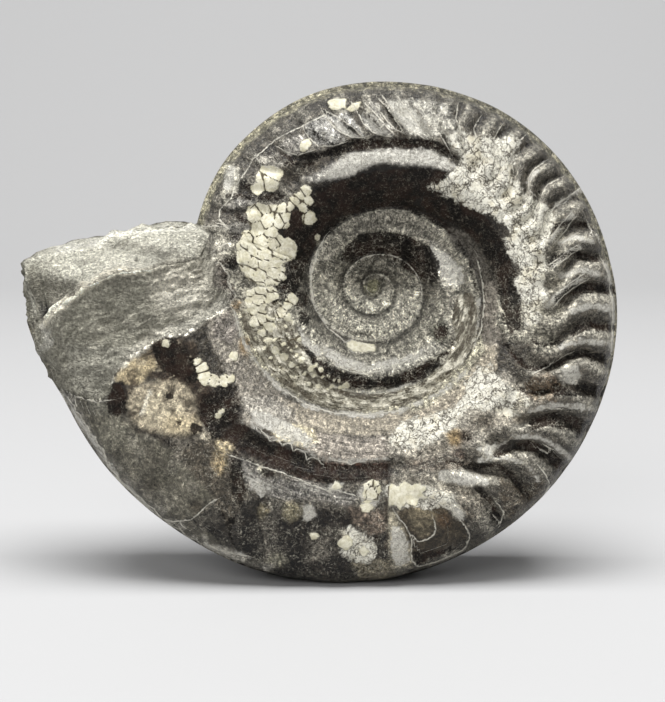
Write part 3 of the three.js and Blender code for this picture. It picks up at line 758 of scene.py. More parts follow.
STONE = [(10, 240), (120, 200), (186, 205), (199, 223), (206, 244), (214, 262), (212, 287), (226, 291), (229, 305),
         (212, 316), (186, 334), (166, 336), (151, 345), (135, 352), (124, 362), (113, 376), (111, 393), (98, 401),
         (70, 392), (50, 386), (10, 340)]
stone_front = polygon(STONE)
OLIVE = [(60, 384), (84, 396), (108, 402), (113, 412), (130, 430), (165, 445), (196, 478), (215, 500), (206, 506),
         (195, 518), (180, 520), (214, 536), (225, 556), (160, 540), (90, 470), (45, 380)]

# ---- colours laid on in soft zones -------------------------------------------------------------------------
x, y, z = P[:, 0], P[:, 1], P[:, 2]
is_mouth = MOUTH_S >= 0
to_back = (NRM[:, 1] > -0.12) & ~is_mouth
WU = U_ + 3.4 * fbm(x * 0.45, z * 0.45, y * 0.2, 3, 31) + 1.8 * fbm(x * 1.6, z * 1.6, y * 0.5, 2, 33)
WV = V_ + 3.4 * fbm(x * 0.45, z * 0.45, y * 0.2, 3, 32) + 1.8 * fbm(x * 1.6, z * 1.6, y * 0.5, 2, 34)
radius = np.hypot(U_ - CENTRE_U, V_ - CENTRE_V)
up = SMOOTH_N[:, 2]
SKY = np.where(up > 0, 1 + 1.5 * up, 1 - 0.75 * up)  # how much light reaches a part of the form
SKY = np.where(is_mouth & (up > 0), 1 + 0.1 * up + 0.4 * step(0.8, 0.98, up), SKY)


def lin(rgb):
    c = np.array(rgb, float) / 255
    return np.where(c <= 0.04045, c / 12.92, ((c + 0.055) / 1.055) ** 2.4)


paint = np.broadcast_to(lin((78, 74, 66)), (count, 3)).copy()
shine = np.full(count, 0.34)
fleck_and_glint_amount = np.full(count, 0.35)


def lay(weight, rgb, rough=None, specks=None):
    w = np.clip(weight, 0, 1)
    paint[:] = paint * (1 - w[:, None]) + lin(rgb) * w[:, None]
    if rough is not None:
        shine[:] = shine * (1 - w) + rough * w
    if specks is not None:
        fleck_and_glint_amount[:] = fleck_and_glint_amount * (1 - w) + specks * w


def zone(points, rgb, soft=4.0, strength=1.0, rough=None, specks=None):
    soft = 0.6 * soft
    lay(step(soft, -soft, polygon(points, WU, WV)) * strength * ~to_back, rgb, rough, specks)


def spot(cx, cy, rx, ry, rgb, soft=0.35, strength=1.0, rough=None, specks=None):
    d = np.hypot((WU - cx) / rx, (WV - cy) / ry)
    lay(step(1 + soft, 1 - soft, d) * strength * ~to_back, rgb, rough, specks)


def streak(points, width, rgb, soft=2.0, strength=1.0, rough=None, specks=None):
    lay(step(soft, -soft, path(points, width, WU, WV)) * strength * ~to_back, rgb, rough, specks)


last = T > THETA_LAST
blotch = fbm(x * 0.3, z * 0.3, y * 0.3, 4, 41)
blotch2 = fbm(x * 0.8, z * 0.8, y * 0.8, 4, 42)

# ribs: pale upper sides, a painted highlight where they face the overhead light; dark gaps, partly dark calcite and
# partly painted shade
phase = np.where((T > -175) & (MOUTH_S < 0), rib_phase(T, Q), 0)
on_ribs = rib_share(Q) * last * (MOUTH_S < 0) * step(110, 70, T)
lay(on_ribs * step(0.6, 0.72, phase) * step(1.05, 0.9, phase) * 0.8, (146, 142, 130), 0.34, 0.5)
lay(on_ribs * np.exp(-(((phase - 0.5) / 0.15) ** 2)) * 0.8, (44, 40, 33), 0.28, 0.25)
lay(on_ribs * step(-100, -120, T) * 0.5, (96, 92, 84), 0.34)
# the rim
rim_w = step(0.925, 0.95, Q) * last * (MOUTH_S < 0)
lay(rim_w, (122, 118, 100), 0.5, 0.8)
lay(rim_w * step(0.1, 0.5, blotch2), (152, 145, 122), 0.5)
lay(rim_w * step(-0.1, -0.5, blotch), (84, 78, 64), 0.4)
lay(rim_w * step(-100, -60, T) * step(100, -20, T) * 0.35, (92, 89, 78), 0.45)
lay(rim_w * step(-90, -120, T) * 0.6, (152, 147, 124), 0.55)
lay(rim_w * step(40, 90, T) * 0.6, (60, 56, 48), 0.4)

# the inner flank of the last whorl
inner_w = step(0.42, 0.34, Q) * last * (MOUTH_S < 0)
lay(inner_w, (58, 54, 47), 0.26, 0.3)
# painted shade: the inner flank darker along the top, where it faces down
lay(inner_w * step(-10, -40, T) * step(-172, -150, T), (24, 20, 15), 0.22, 0.12)
# the whorls inside: dark with pale specks; paler below, a painted light on their up-facing lower walls; the seams
# darker
deep = (~last | (Q < 0.01)) & ~is_mouth
w_in = np.clip(Q / cover(T), 0, 1)
low = step(-0.5, 0.9, np.sin(np.radians(T)))
lay(deep * 1.0, (98, 95, 84), 0.4, 0.6)
lay(deep * low * 0.75, (164, 160, 146), 0.45, 0.7)
lay(deep * step(0.0, 0.6, blotch2) * 0.4, (140, 136, 122), 0.5)
lay(deep * step(0.1, -0.5, blotch2) * 0.5, (52, 49, 43), 0.34)
# painted light and shade: the core paler on its lower half and darker on its upper half
core = deep * step(64, 30, radius)
lay(core * (0.15 + 0.45 * low), (164, 160, 146), 0.45, 0.85)
lay(core * low * 0.5, (202, 198, 182), 0.45, 0.85)
lay(core * (1 - low) * 0.5, (76, 72, 63), 0.4, 0.85)
lay(deep * step(0.14, 0.03, w_in) * 0.8, (34, 31, 26), 0.34, 0.4)
lay(deep * step(0.76, 0.9, w_in) * 0.6, (172, 168, 153), 0.45, 0.8)
for cx, cy, r in ((343, 212, 6), (316, 241, 4), (340, 201, 3), (337, 197, 3), (205, 437, 4), (262, 470, 4)):
    spot(cx, cy, r, r, (172, 168, 150), 0.5, 0.9, 0.5)

# top
zone([(318, 215), (312, 196), (330, 182), (350, 178), (380, 168), (430, 170), (455, 178), (436, 190), (428, 200),
      (430, 214), (452, 232), (420, 215), (380, 207), (345, 213), (320, 232), (308, 252), (300, 240), (306, 222)],
     (22, 18, 13), 5, 1, 0.2)
# painted highlight: the pale band along the shoulder at the top, where it catches the overhead light
zone([(350, 151), (390, 149), (430, 149), (446, 158), (456, 166), (448, 171), (430, 166), (400, 163), (372, 165),
      (352, 175), (335, 181), (316, 183), (300, 178), (318, 170), (338, 160)], (150, 147, 139), 4, 0.95, 0.4)
zone([(352, 152), (392, 150), (424, 150), (424, 161), (392, 160), (366, 162), (350, 160)], (190, 187, 178), 3, 0.7, 0.4)
zone([(345, 140), (380, 139), (430, 139), (448, 146), (458, 157), (440, 149), (400, 148), (355, 150), (325, 157),
      (300, 160), (285, 158), (276, 150), (300, 155), (325, 150)], (36, 31, 25), 3, 0.95, 0.3)
zone([(276, 160), (300, 160), (330, 156), (345, 158), (320, 170), (300, 178), (290, 186), (280, 176)], (66, 60, 51), 4, 0.8)
zone([(303, 128), (325, 114), (338, 131), (345, 142), (330, 146), (315, 143)], (150, 148, 142), 2, 0.95, 0.3)
zone([(278, 146), (292, 134), (304, 134), (312, 142), (308, 150), (296, 155), (284, 152)], (150, 146, 138), 2.5, 0.9, 0.4)
zone([(328, 117), (347, 112), (356, 126), (367, 137), (352, 137), (338, 128)], (176, 174, 168), 2, 0.85, 0.35)
zone([(362, 116), (376, 122), (392, 137), (380, 136), (368, 128)], (170, 168, 160), 2, 0.85, 0.35)
zone([(368, 101), (380, 104), (392, 124), (398, 132), (388, 128), (376, 116)], (160, 157, 148), 2, 0.8, 0.35)
zone([(386, 99), (420, 99), (436, 112), (446, 132), (428, 138), (410, 134), (398, 122)], (186, 183, 172), 3, 0.8, 0.38)
zone([(424, 101), (446, 104), (456, 118), (452, 130), (440, 128), (430, 116)], (178, 175, 164), 3, 0.75, 0.38)
for pts in ([(341, 119), (349, 131), (362, 138)], [(352, 111), (358, 122), (372, 133)], [(382, 112), (392, 126), (404, 136)],
            [(330, 120), (338, 132), (341, 141)], [(412, 104), (420, 118), (434, 130)]):
    streak(pts, 3.0, (58, 52, 43), 1.6, 0.9, 0.3)
zone([(254, 160), (270, 150), (284, 158), (282, 168), (262, 168)], (148, 144, 134), 3, 0.8, 0.4)
zone([(226, 206), (240, 198), (258, 200), (252, 212), (238, 214), (226, 214)], (138, 135, 128), 2.5, 0.85, 0.3)
zone([(228, 226), (246, 220), (250, 230), (238, 238), (228, 238)], (132, 129, 122), 2.5, 0.85, 0.3)
for cx, cy, rx, ry in ((260, 196, 20, 6), (236, 212, 16, 5), (234, 237, 14, 5), (228, 262, 13, 6), (240, 186, 9, 8),
                       (296, 218, 9, 8), (304, 232, 8, 12), (290, 268, 10, 8), (286, 288, 14, 14), (276, 300, 7, 6),
                       (268, 150, 9, 5), (290, 158, 18, 4)):
    spot(cx, cy, rx, ry, (34, 29, 23), 0.4, 0.95, 0.24)
spot(300, 226, 10, 12, (52, 32, 24), 0.5, 0.8)
zone([(213, 264), (221, 262), (226, 272), (231, 284), (236, 296), (231, 303), (226, 290), (214, 287)], (54, 46, 40), 2, 1, 0.35)
zone([(203, 228), (226, 226), (232, 244), (222, 262), (212, 262), (206, 246)], (150, 146, 134), 3, 0.75, 0.5)
spot(232, 176, 7, 13, (206, 202, 186), 0.5, 0.8)
spot(226, 192, 4, 8, (190, 186, 170), 0.5, 0.7)

# right
zone([(440, 225), (466, 232), (482, 255), (493, 290), (499, 330), (493, 354), (482, 354), (484, 330), (481, 290),
      (470, 262), (450, 240)], (84, 80, 73), 4, 0.9, 0.28, 0.1)
zone([(484, 280), (496, 282), (500, 330), (496, 356), (484, 372), (482, 350)], (126, 120, 110), 4, 0.85, 0.3, 0.1)
zone([(545, 215), (562, 214), (566, 236), (560, 262), (564, 290), (560, 330), (552, 350), (534, 352), (540, 320),
      (548, 290), (550, 262), (546, 240)], (132, 128, 115), 6, 0.7, 0.45, 0.9)
zone([(498, 296), (528, 292), (544, 316), (532, 340), (508, 340), (496, 322)], (150, 146, 132), 6, 0.8, 0.45, 1.0)
spot(570, 376, 9, 7, (188, 184, 172), 0.5, 0.7)
zone([(530, 376), (548, 372), (562, 384), (556, 402), (536, 404), (526, 392)], (86, 72, 56), 4, 0.7, 0.35, 0.5)
zone([(500, 478), (524, 486), (540, 476), (548, 486), (534, 504), (510, 520), (500, 500)], (84, 74, 60), 5, 0.75, 0.4, 0.6)
zone([(404, 442), (430, 446), (446, 458), (470, 460), (456, 476), (430, 470), (404, 470)], (92, 84, 74), 5, 0.8, 0.4, 0.6)
zone([(456, 486), (476, 490), (486, 502), (480, 520), (466, 520), (458, 504)], (104, 96, 84), 4, 0.7, 0.4, 0.7)
zone([(395, 470), (430, 472), (470, 488), (500, 500), (480, 520), (470, 510), (440, 500), (400, 486)], (150, 144, 130), 5, 0.5, 0.4, 0.7)

# bottom
# painted shade: the bottom edge darker
zone([(245, 548), (290, 560), (345, 562), (345, 580), (290, 580), (245, 566)], (30, 27, 22), 5, 0.8, 0.3, 0.4)
WALL = [(268, 392), (285, 400), (310, 410), (340, 416), (372, 418), (408, 412), (438, 398), (462, 380), (476, 362),
        (483, 345), (497, 345), (498, 366), (482, 388), (455, 408), (425, 422), (390, 432), (360, 434), (330, 432),
        (304, 427), (284, 417), (268, 404)]
zone(WALL, (170, 161, 143), 5, 0.95, 0.34, 0.2)
zone([(300, 430), (330, 434), (385, 436), (390, 450), (386, 459), (350, 462), (330, 461), (312, 453), (300, 442)],
     (160, 152, 140), 4, 0.9, 0.36, 0.25)
zone([(388, 436), (420, 426), (450, 412), (480, 392), (505, 372), (524, 386), (530, 408), (500, 430), (470, 444), (440, 456),
      (410, 458), (390, 456)], (172, 166, 152), 6, 0.85, 0.45, 0.45)
spot(484, 421, 14, 9, (84, 76, 64), 0.8, 0.8, 0.4, 0.5)
spot(512, 418, 12, 6, (110, 103, 90), 0.8, 0.7, 0.4, 0.5)
spot(440, 448, 22, 8, (118, 110, 97), 0.9, 0.6, 0.4, 0.5)
zone([(270, 428), (285, 422), (300, 424), (315, 432), (318, 441), (308, 447), (290, 441), (274, 438)], (198, 188, 160), 3, 0.9, 0.42, 0.2)
zone([(222, 424), (245, 423), (262, 430), (280, 443), (300, 449), (312, 460), (340, 463), (390, 462), (390, 479),
      (362, 482), (330, 484), (300, 480), (270, 464), (240, 452), (222, 440)], (40, 31, 25), 4, 0.96, 0.24, 0.2)
zone([(322, 464), (388, 462), (388, 478), (340, 480), (322, 478)], (66, 48, 39), 4, 0.8, 0.3, 0.3)
zone([(230, 453), (250, 461), (262, 477), (300, 481), (330, 488), (362, 496), (350, 507), (325, 502), (300, 501), (270, 498),
      (250, 486), (234, 470)], (118, 115, 109), 5, 0.9, 0.36, 0.6)
# painted shade: the lower part of the shell darker
zone([(226, 500), (262, 504), (300, 508), (340, 512), (388, 514), (388, 566), (340, 578), (290, 574), (240, 556), (218, 530)],
     (44, 40, 34), 6, 0.9, 0.3, 0.45)
for cx, cy, rx, ry in ((268, 545, 9, 22), (236, 515, 10, 16), (318, 553, 14, 12), (310, 505, 16, 8), (276, 512, 12, 8)):
    spot(cx, cy, rx, ry, (100, 95, 86), 0.7, 0.75, 0.34, 0.9)
for cx, cy, rx, ry in ((248, 543, 8, 24), (244, 522, 8, 12), (296, 540, 8, 32), (214, 534, 8, 10), (290, 566, 30, 6), (325, 518, 10, 9), (262, 500, 6, 14), (282, 524, 6, 12), (345, 520, 9, 6),
                       (336, 566, 16, 7), (306, 522, 6, 8)):
    spot(cx, cy, rx, ry, (26, 21, 16), 0.7, 0.9, 0.26, 0.35)
zone([(346, 506), (372, 506), (388, 514), (388, 530), (372, 536), (356, 524)], (104, 92, 80), 4, 0.8, 0.4, 0.6)
zone([(388, 506), (396, 515), (405, 530), (411, 548), (412, 566), (392, 570), (386, 540)], (158, 151, 132), 4, 0.85, 0.4, 0.4)
zone([(352, 563), (372, 560), (392, 560), (394, 578), (360, 580)], (140, 132, 112), 4, 0.85)
zone([(395, 511), (404, 508), (425, 500), (440, 505), (455, 512), (466, 526), (467, 538), (445, 551), (418, 564), (411, 545)],
     (66, 59, 47), 2.0, 1.0, 0.2, 0.1)
zone([(408, 510), (425, 504), (434, 514), (433, 530), (420, 538), (412, 526)], (104, 96, 78), 4, 0.8, 0.22, 0.1)
spot(444, 520, 7, 8, (86, 68, 50), 0.6, 0.7)
for cx, cy, rx, ry, c in ((222, 450, 7, 8, (176, 166, 138)), (220, 466, 7, 8, (166, 152, 118)), (262, 512, 5, 6, (140, 130, 104)),
                          (291, 511, 8, 8, (150, 142, 116)), (277, 560, 9, 7, (150, 146, 128)), (218, 414, 7, 5, (160, 154, 138)),
                          (206, 437, 6, 8, (160, 152, 134))):
    spot(cx, cy, rx, ry, c, 0.6, 0.9, 0.4, 0.6)
zone([(414, 568), (450, 556), (500, 532), (530, 508), (535, 516), (500, 540), (450, 568), (415, 576)], (104, 100, 90), 4, 0.7, 0.5)
spot(455, 437, 9, 8, (140, 118, 80), 0.5, 0.85, 0.3, 0.1)
spot(466, 436, 6, 7, (64, 46, 32), 0.6, 0.7)
spot(458, 452, 6, 6, (60, 42, 30), 0.6, 0.7)

zone([(440, 471), (462, 471), (487, 480), (485, 486), (460, 484), (442, 480)], (206, 202, 188), 3, 0.85, 0.45, 0.3)
zone([(418, 485), (440, 490), (454, 500), (465, 516), (459, 518), (448, 507), (434, 499), (418, 496)], (206, 202, 188), 3, 0.8, 0.45, 0.4)

# left of the coil and the lower left
zone([(212, 316), (230, 309), (242, 342), (262, 372), (285, 398), (302, 426), (272, 424), (250, 428), (238, 420), (232, 402),
      (236, 386), (216, 352), (208, 334)], (136, 130, 119), 4, 0.95, 0.34, 0.35)
zone([(214, 318), (229, 312), (238, 332), (232, 346), (216, 340)], (116, 110, 104), 3, 0.8, 0.3)
zone([(244, 396), (270, 398), (292, 412), (286, 420), (262, 418), (246, 412)], (170, 165, 154), 4, 0.7, 0.3)
zone([(236, 303), (248, 312), (262, 330), (285, 345), (300, 375), (320, 391), (350, 401), (384, 405), (420, 398), (455, 372),
      (474, 350), (478, 330), (486, 350), (462, 382), (425, 408), (376, 414), (330, 408), (300, 398), (276, 386), (258, 366),
      (244, 340)], (176, 171, 150), 3.5, 0.9, 0.6, 0.8)
spot(246, 346, 6, 10, (140, 118, 84), 0.5, 0.8)
spot(238, 306, 6, 7, (104, 84, 56), 0.5, 0.8)
zone([(198, 394), (236, 386), (240, 404), (246, 424), (222, 446), (205, 430), (194, 412)], (44, 39, 33), 5, 0.92, 0.28)
zone([(196, 440), (232, 440), (236, 470), (246, 500), (226, 530), (214, 500), (196, 478), (180, 452)], (70, 64, 54), 6, 0.85, 0.34)
zone([(140, 336), (176, 336), (200, 346), (200, 372), (216, 392), (200, 408), (184, 396), (160, 380), (146, 366)],
     (52, 43, 34), 4, 0.96, 0.3)
spot(182, 352, 14, 10, (30, 24, 18), 0.5, 0.8)
zone([(124, 360), (150, 352), (156, 366), (140, 384), (120, 384), (114, 376)], (168, 154, 124), 4, 0.95, 0.42)
zone([(124, 392), (150, 384), (176, 380), (194, 394), (196, 416), (180, 432), (150, 434), (130, 420)], (158, 148, 127), 6, 0.95, 0.42)
spot(158, 410, 20, 13, (184, 174, 150), 0.6, 0.7)
left_w = step(5, -5, polygon([(112, 352), (150, 340), (200, 344), (212, 400), (196, 440), (150, 440), (108, 420)], WU, WV)) * ~to_back
lay(left_w * step(-0.08, -0.4, blotch2) * 0.85, (52, 44, 35), 0.34, 0.5)
lay(left_w * step(0.15, 0.5, blotch2) * 0.5, (184, 174, 150), 0.45, 0.6)
fleck_and_glint_amount[:] = fleck_and_glint_amount * (1 - left_w) + 0.06 * left_w
streak([(150, 392), (147, 402), (141, 414)], 3, (228, 222, 204), 1.5, 0.8)
for cx, cy, r in ((131, 350, 5), (146, 356, 6), (133, 372, 5), (150, 374, 5), (139, 362, 3), (172, 392, 4), (188, 402, 5), (134, 384, 4)):
    spot(cx, cy, r, r * 0.8, (58, 49, 38), 0.6, 0.75)
zone([(110, 384), (124, 380), (130, 396), (126, 418), (112, 422), (106, 402)], (26, 21, 17), 3, 0.98, 0.3)
spot(180, 424, 16, 10, (186, 172, 142), 0.6, 0.8)
spot(224, 446, 8, 6, (172, 158, 128), 0.6, 0.8)
spot(219, 463, 6, 11, (166, 148, 114), 0.6, 0.8)
zone([(126, 424), (160, 438), (176, 446), (170, 452), (140, 440)], (46, 40, 33), 3, 0.85)
# painted shade: darker towards the bottom at the lower left, and on the outer flank at the lower right
paint *= (1 - 0.3 * step(470, 525, V_) * step(318, 290, U_) * ~to_back)[:, None]
paint *= (1 - 0.34 * step(0.66, 0.86, Q) * step(15, 40, T) * step(112, 84, T) * last * ~to_back)[:, None]
lay(step(1.9, 0.5, upright) * 0.85 * ~to_back, (48, 42, 35))
olive = polygon(OLIVE, WU, WV)
lay(step(3, -3, olive) * ~to_back * ~is_mouth, (86, 83, 72), 0.4, 0.14)
lay(step(3, -3, olive) * ~to_back * step(-0.1, 0.5, blotch) * 0.7, (132, 128, 116), 0.45)
lay(step(3, -3, olive) * ~to_back * step(0.1, -0.5, blotch2) * 0.6, (84, 80, 70), 0.35)
for cx, cy, rx, ry, c in ((98, 404, 9, 10, (112, 110, 100)), (116, 432, 14, 15, (118, 115, 102)), (130, 465, 9, 13, (108, 104, 92)),
                          (150, 484, 12, 9, (58, 54, 45)), (150, 458, 8, 12, (88, 84, 74)), (182, 494, 12, 16, (106, 102, 90)),
                          (197, 507, 5, 6, (50, 43, 34)), (112, 460, 6, 8, (72, 68, 58))):
    spot(cx, cy, rx, ry, c, 0.8, 0.75, 0.34, 0.14)
edge_rim = step(14, 3, (keel_r(T) - radius)) * last * (T > 110) * (MOUTH_S < 0)
lay(edge_rim * 0.75, (100, 97, 89), 0.7)
lay(edge_rim * step(0.1, 0.4, blotch2) * 0.8, (172, 168, 158), 0.7)
zone([(205, 543), (226, 550), (246, 558), (236, 562), (208, 552)], (186, 182, 170), 3, 0.7)

# the rings inside
# painted shade: the ring's upper half darker
zone([(342, 258), (352, 241), (370, 233), (400, 233), (425, 245), (440, 262), (438, 282), (420, 280), (404, 266),
      (390, 258), (372, 256), (354, 263)], (46, 42, 36), 4, 0.95, 0.3)
zone([(316, 262), (325, 241), (345, 223), (380, 212), (410, 214), (440, 232), (456, 256), (440, 256), (425, 243),
      (400, 231), (370, 230), (345, 238), (330, 258)], (128, 124, 113), 4, 0.75, 0.4)
zone([(430, 240), (446, 250), (460, 272), (460, 290), (444, 286), (434, 264)], (206, 202, 188), 4, 0.85, 0.45)
zone([(405, 256), (432, 266), (440, 282), (436, 300), (424, 296), (416, 274)], (70, 66, 58), 5, 0.7)
# painted light: the ring's lower half paler
zone([(320, 342), (345, 356), (370, 363), (400, 359), (430, 346), (446, 320), (455, 332), (442, 352), (415, 367),
      (380, 375), (350, 371), (330, 361)], (160, 157, 146), 4, 0.8, 0.42)
zone([(303, 345), (320, 362), (345, 371), (375, 379), (400, 373), (432, 358), (442, 366), (420, 382), (390, 389),
      (350, 389), (325, 382), (306, 365)], (36, 33, 28), 4, 0.96, 0.28)
zone([(290, 332), (300, 340), (316, 358), (308, 366), (296, 354), (288, 344)], (48, 44, 37), 4, 0.9)
zone([(285, 322), (304, 320), (318, 338), (330, 352), (322, 358), (306, 344), (290, 334)], (164, 160, 146), 4, 0.7)
spot(440, 333, 11, 11, (66, 65, 55), 0.4, 0.95, 0.35)
zone([(446, 290), (472, 300), (476, 330), (466, 352), (450, 350), (452, 322)], (158, 153, 140), 5, 0.75, 0.5)
spot(374, 288, 7, 6.5, (150, 147, 118), 0.3, 0.9, 0.4)
# painted shade: a darker arc above the centre
spot(378, 266, 24, 7, (72, 69, 61), 0.5, 0.5)

# the back, from the spiral's own ways and noise
bw = to_back & (MOUTH_S < 0)
b_on = bw * 1.0
lay(b_on * last * step(0.46, 0.3, Q) * (0.75 + 0.25 * blotch), (64, 59, 51), 0.3)
lay(b_on * last * step(0.0, 0.35, blotch) * step(0.6, 0.4, Q) * 0.85, (30, 26, 21), 0.24)
lay(b_on * last * step(0.12, 0.02, Q) * 0.85, (168, 161, 142), 0.45)
lay(b_on * step(100, 150, T) * last * 0.7, (108, 102, 90), 0.42)
lay(b_on * step(120, 160, T) * last * step(0.1, 0.4, blotch2) * 0.6, (178, 165, 135), 0.5)

# where limestone shows
STONE_BACK = (176 + 10 * fbm(x * 0.18, z * 0.18, y * 0 + 3, 3, 3) - T) * 2.4
stone_sd = np.where(to_back, np.where(last & (T > 100), STONE_BACK, 20.0), np.where(last & (T > 120), stone_front, 20.0))
near_rim = last & (T < -120) & ~is_mouth
stone_sd = np.where(near_rim & ~to_back, np.maximum(stone_front, 2.0), stone_sd)
stone_sd = np.where(is_mouth, -20.0, stone_sd)
stone_w = step(1.2, -1.2, stone_sd)
lay(stone_w, (151, 148, 134), 0.85)
lay(stone_w * step(-0.1, 0.5, blotch) * 0.5, (176, 172, 157), 0.9)
lay(stone_w * step(0.0, -0.5, blotch2) * 0.4, (132, 129, 117), 0.85)
# painted light: the limestone's up-facing facet of the break painted lighter
lit_top_facet = stone_w * is_mouth * step(0.25, 0.7, NRM[:, 2])
lay(lit_top_facet * 0.95, (208, 205, 190), 0.9)
lay(lit_top_facet * step(0.0, -0.5, blotch) * 0.6, (166, 163, 150), 0.9)
lay(lit_top_facet * step(0.1, 0.5, blotch2) * 0.5, (226, 223, 209), 0.9)
STONE_LIGHT = [(157, 333), (170, 324), (190, 318), (211, 300), (228, 292), (229, 306), (212, 317), (190, 333), (160, 337)]
zone(STONE_LIGHT, (204, 200, 186), 4, 0.85, 0.8)
zone([(116, 370), (126, 352), (144, 338), (158, 329), (174, 322), (162, 338), (149, 348), (136, 356), (124, 366)], (204, 199, 184), 5, 0.85, 0.85)
zone([(96, 266), (120, 262), (140, 262), (140, 270), (120, 272), (98, 277)], (206, 202, 188), 5, 0.6, 0.85)
zone([(156, 270), (178, 263), (212, 262), (212, 300), (190, 314), (160, 316), (152, 296)], (218, 212, 195), 26, 0.85, 0.85)
spot(186, 300, 22, 12, (240, 235, 218), 0.8, 0.8, 0.85)
zone([(60, 345), (110, 350), (140, 345), (112, 378), (98, 398), (70, 388)], (170, 167, 154), 8, 0.6, 0.85)
# painted shade: the sloping facet in the notch at the left greyer, and the notch's hollow near black
zone([(26, 278), (44, 276), (60, 276), (84, 281), (76, 294), (56, 308), (40, 318), (29, 300)], (106, 103, 92), 5, 0.9)
zone([(26, 298), (34, 299), (48, 306), (46, 313), (31, 315)], (24, 22, 19), 2.0, 1.0)
# painted shade on the sloping facet at the upper right of the face
zone([(157, 250), (176, 246), (193, 262), (180, 266), (157, 266)], (124, 121, 110), 4, 0.7)
# painted highlights on the ridge between the top facet and the face, and along the top edge
streak([(200, 262), (176, 264), (150, 269), (120, 273)], 4, (214, 208, 190), 4, 0.8, 0.8)
streak([(150, 269), (120, 273), (100, 278), (85, 287), (75, 296), (60, 308), (50, 316), (40, 326)], 5, (262, 254, 232), 3, 0.95, 0.8)
streak([(58, 251), (88, 244), (114, 235), (145, 231), (178, 227), (197, 226)], 3, (262, 259, 246), 2.5, 0.85, 0.85)
# painted shadow under the ridge
streak([(172, 271), (146, 276), (120, 281), (100, 287), (86, 296), (70, 309)], 3, (138, 134, 122), 3, 0.4, 0.85)
for cx, cy, rx, ry in ((62, 292, 13, 5), (76, 286, 9, 4), (122, 244, 16, 4), (150, 250, 14, 5), (86, 262, 12, 4)):
    spot(cx, cy, rx, ry, (112, 109, 98), 0.6, 0.6)
# painted highlights along the left edge and on its knobs
streak([(26, 262), (24, 275), (25, 290), (30, 312)], 4, (206, 203, 190), 2.5, 0.8, 0.8)
streak([(38, 322), (44, 333), (46, 345), (36, 352)], 5, (216, 213, 202), 3, 0.8)

# crackled shell and cells
attr = {}
on_rim = 40 * step(0.90, 0.945, Q) * last * (MOUTH_S < 0)
back_patch = (0.16 - fbm(x * 0.13, z * 0.13, y * 0.0 + 7, 4, 5)) * 60
attr["cream"] = np.where(to_back, np.where(is_mouth | (stone_w > 0.5), 20.0, np.maximum(back_patch + 3.0, 0.5) + on_rim), cream_sd)
attr["cell"] = np.where(to_back, 6.0, cream_edge)
attr["crackle"] = np.where(to_back, np.where(stone_w > 0.5, 20.0, back_patch + on_rim), crackle_sd)
attr["line"] = np.where(to_back, 20.0, line_at)
black_back = np.where(last & (Q < 0.55), (0.05 - blotch) * 30, 12.0)
attr["black"] = np.where(is_mouth, 20.0, np.where(to_back, black_back + on_rim, black_sd))
attr["pale"] = np.where(is_mouth, 20.0, np.where(to_back, (0.3 - fbm(x * 0.5, z * 0.5, y + 21, 4, 51)) * 30 + on_rim, pale_sd))
attr["rubble"] = np.where(is_mouth, 20.0, np.where(to_back, np.where(last, (Q - 0.09) * 60, 20.0), rubble_sd))
attr["phi"] = (T / 360 + Q / cover(T)) * 4
attr["stone"] = stone_sd

# ---- fine relief, in millimetres along the normal ------------------------------------------------------------
cream_w = step(1.0, -1.6, attr["cream"]) * (1 - stone_w)
crack_w = step(1.5, -3.0, attr["crackle"]) * (1 - stone_w)
olive_w = step(4, -4, olive) * ~to_back * (1 - stone_w)
relief = 0.03 * fbm(x * 0.9, y * 0.9, z * 0.9, 4, 1) + 0.10 * fbm(x * 0.2, y * 0.2, z * 0.2, 3, 2)
relief *= 1 - 0.5 * olive_w
bedding = fbm(x * 0.42, y * 0.7, z * 1.25 - 0.42 * x, 4, 11)
rough = fbm(x * 0.5, y * 0.5, z * 0.5, 5, 12)
lumps = fbm(x * 0.13 + 4, y * 0.13, z * 0.16, 3, 13)
chips = fbm(x * 1.1 + 0.5 * z, y * 1.1, z * 1.7 - 0.8 * x, 3, 15)
relief = relief * (1 - stone_w) + stone_w * (0.62 * rough + 0.34 * bedding + 1.1 * lumps + 0.3 * chips)
relief += 0.11 * cream_w + 0.07 * crack_w
relief -= 0.55 * stone_w * ~to_back * ~is_mouth * step(0, -10, stone_front)
hollow = step(1.0, 0.0, np.hypot((U_ - 120) / 78, (V_ - 322) / 52))
relief -= 0.9 * hollow * stone_w * ~to_back * ~is_mouth
ledge = polygon([(240, 305), (262, 330), (285, 345), (300, 375), (322, 392), (350, 402), (384, 406), (420, 398), (455, 372),
                 (474, 350), (484, 350), (462, 380), (425, 406), (376, 412), (330, 406), (300, 396), (276, 384), (258, 364),
                 (244, 338)], WU, WV)
relief += ~to_back * step(2, -3, ledge) * 0.28 * (0.4 + fbm(x * 1.1, y * 1.1, z * 1.1, 3, 19))
relief += ~to_back * step(3, -4, rubble_sd) * 0.34 * fbm(x * 0.9, y * 0.9, z * 0.9, 4, 23)
dent = np.min([path(p, w) for p, w in BLACK_STROKES if w > 4.4 and p[0][0] > 430], 0)
relief -= ~to_back * step(2.5, -3, dent) * 0.28
ridge = path([(200, 262), (176, 264), (150, 269), (120, 273), (100, 278), (85, 287), (75, 296), (60, 308), (50, 316), (40, 326)],
             0.0, WU, WV)
relief += ~to_back * stone_w * 0.5 * np.exp(-((ridge / 4.0) ** 2))
notch = polygon([(30, 277), (60, 276), (82, 284), (72, 295), (50, 309), (38, 322), (30, 312), (27, 296)], WU, WV)
relief -= 0.22 * step(1.8, 0.3, upright) * ~to_back
inward = step(4, -9, notch) * ~to_back * stone_w
relief -= 1.1 * inward
pit = polygon([(26, 297), (36, 299), (50, 307), (44, 314), (30, 316)], WU, WV)
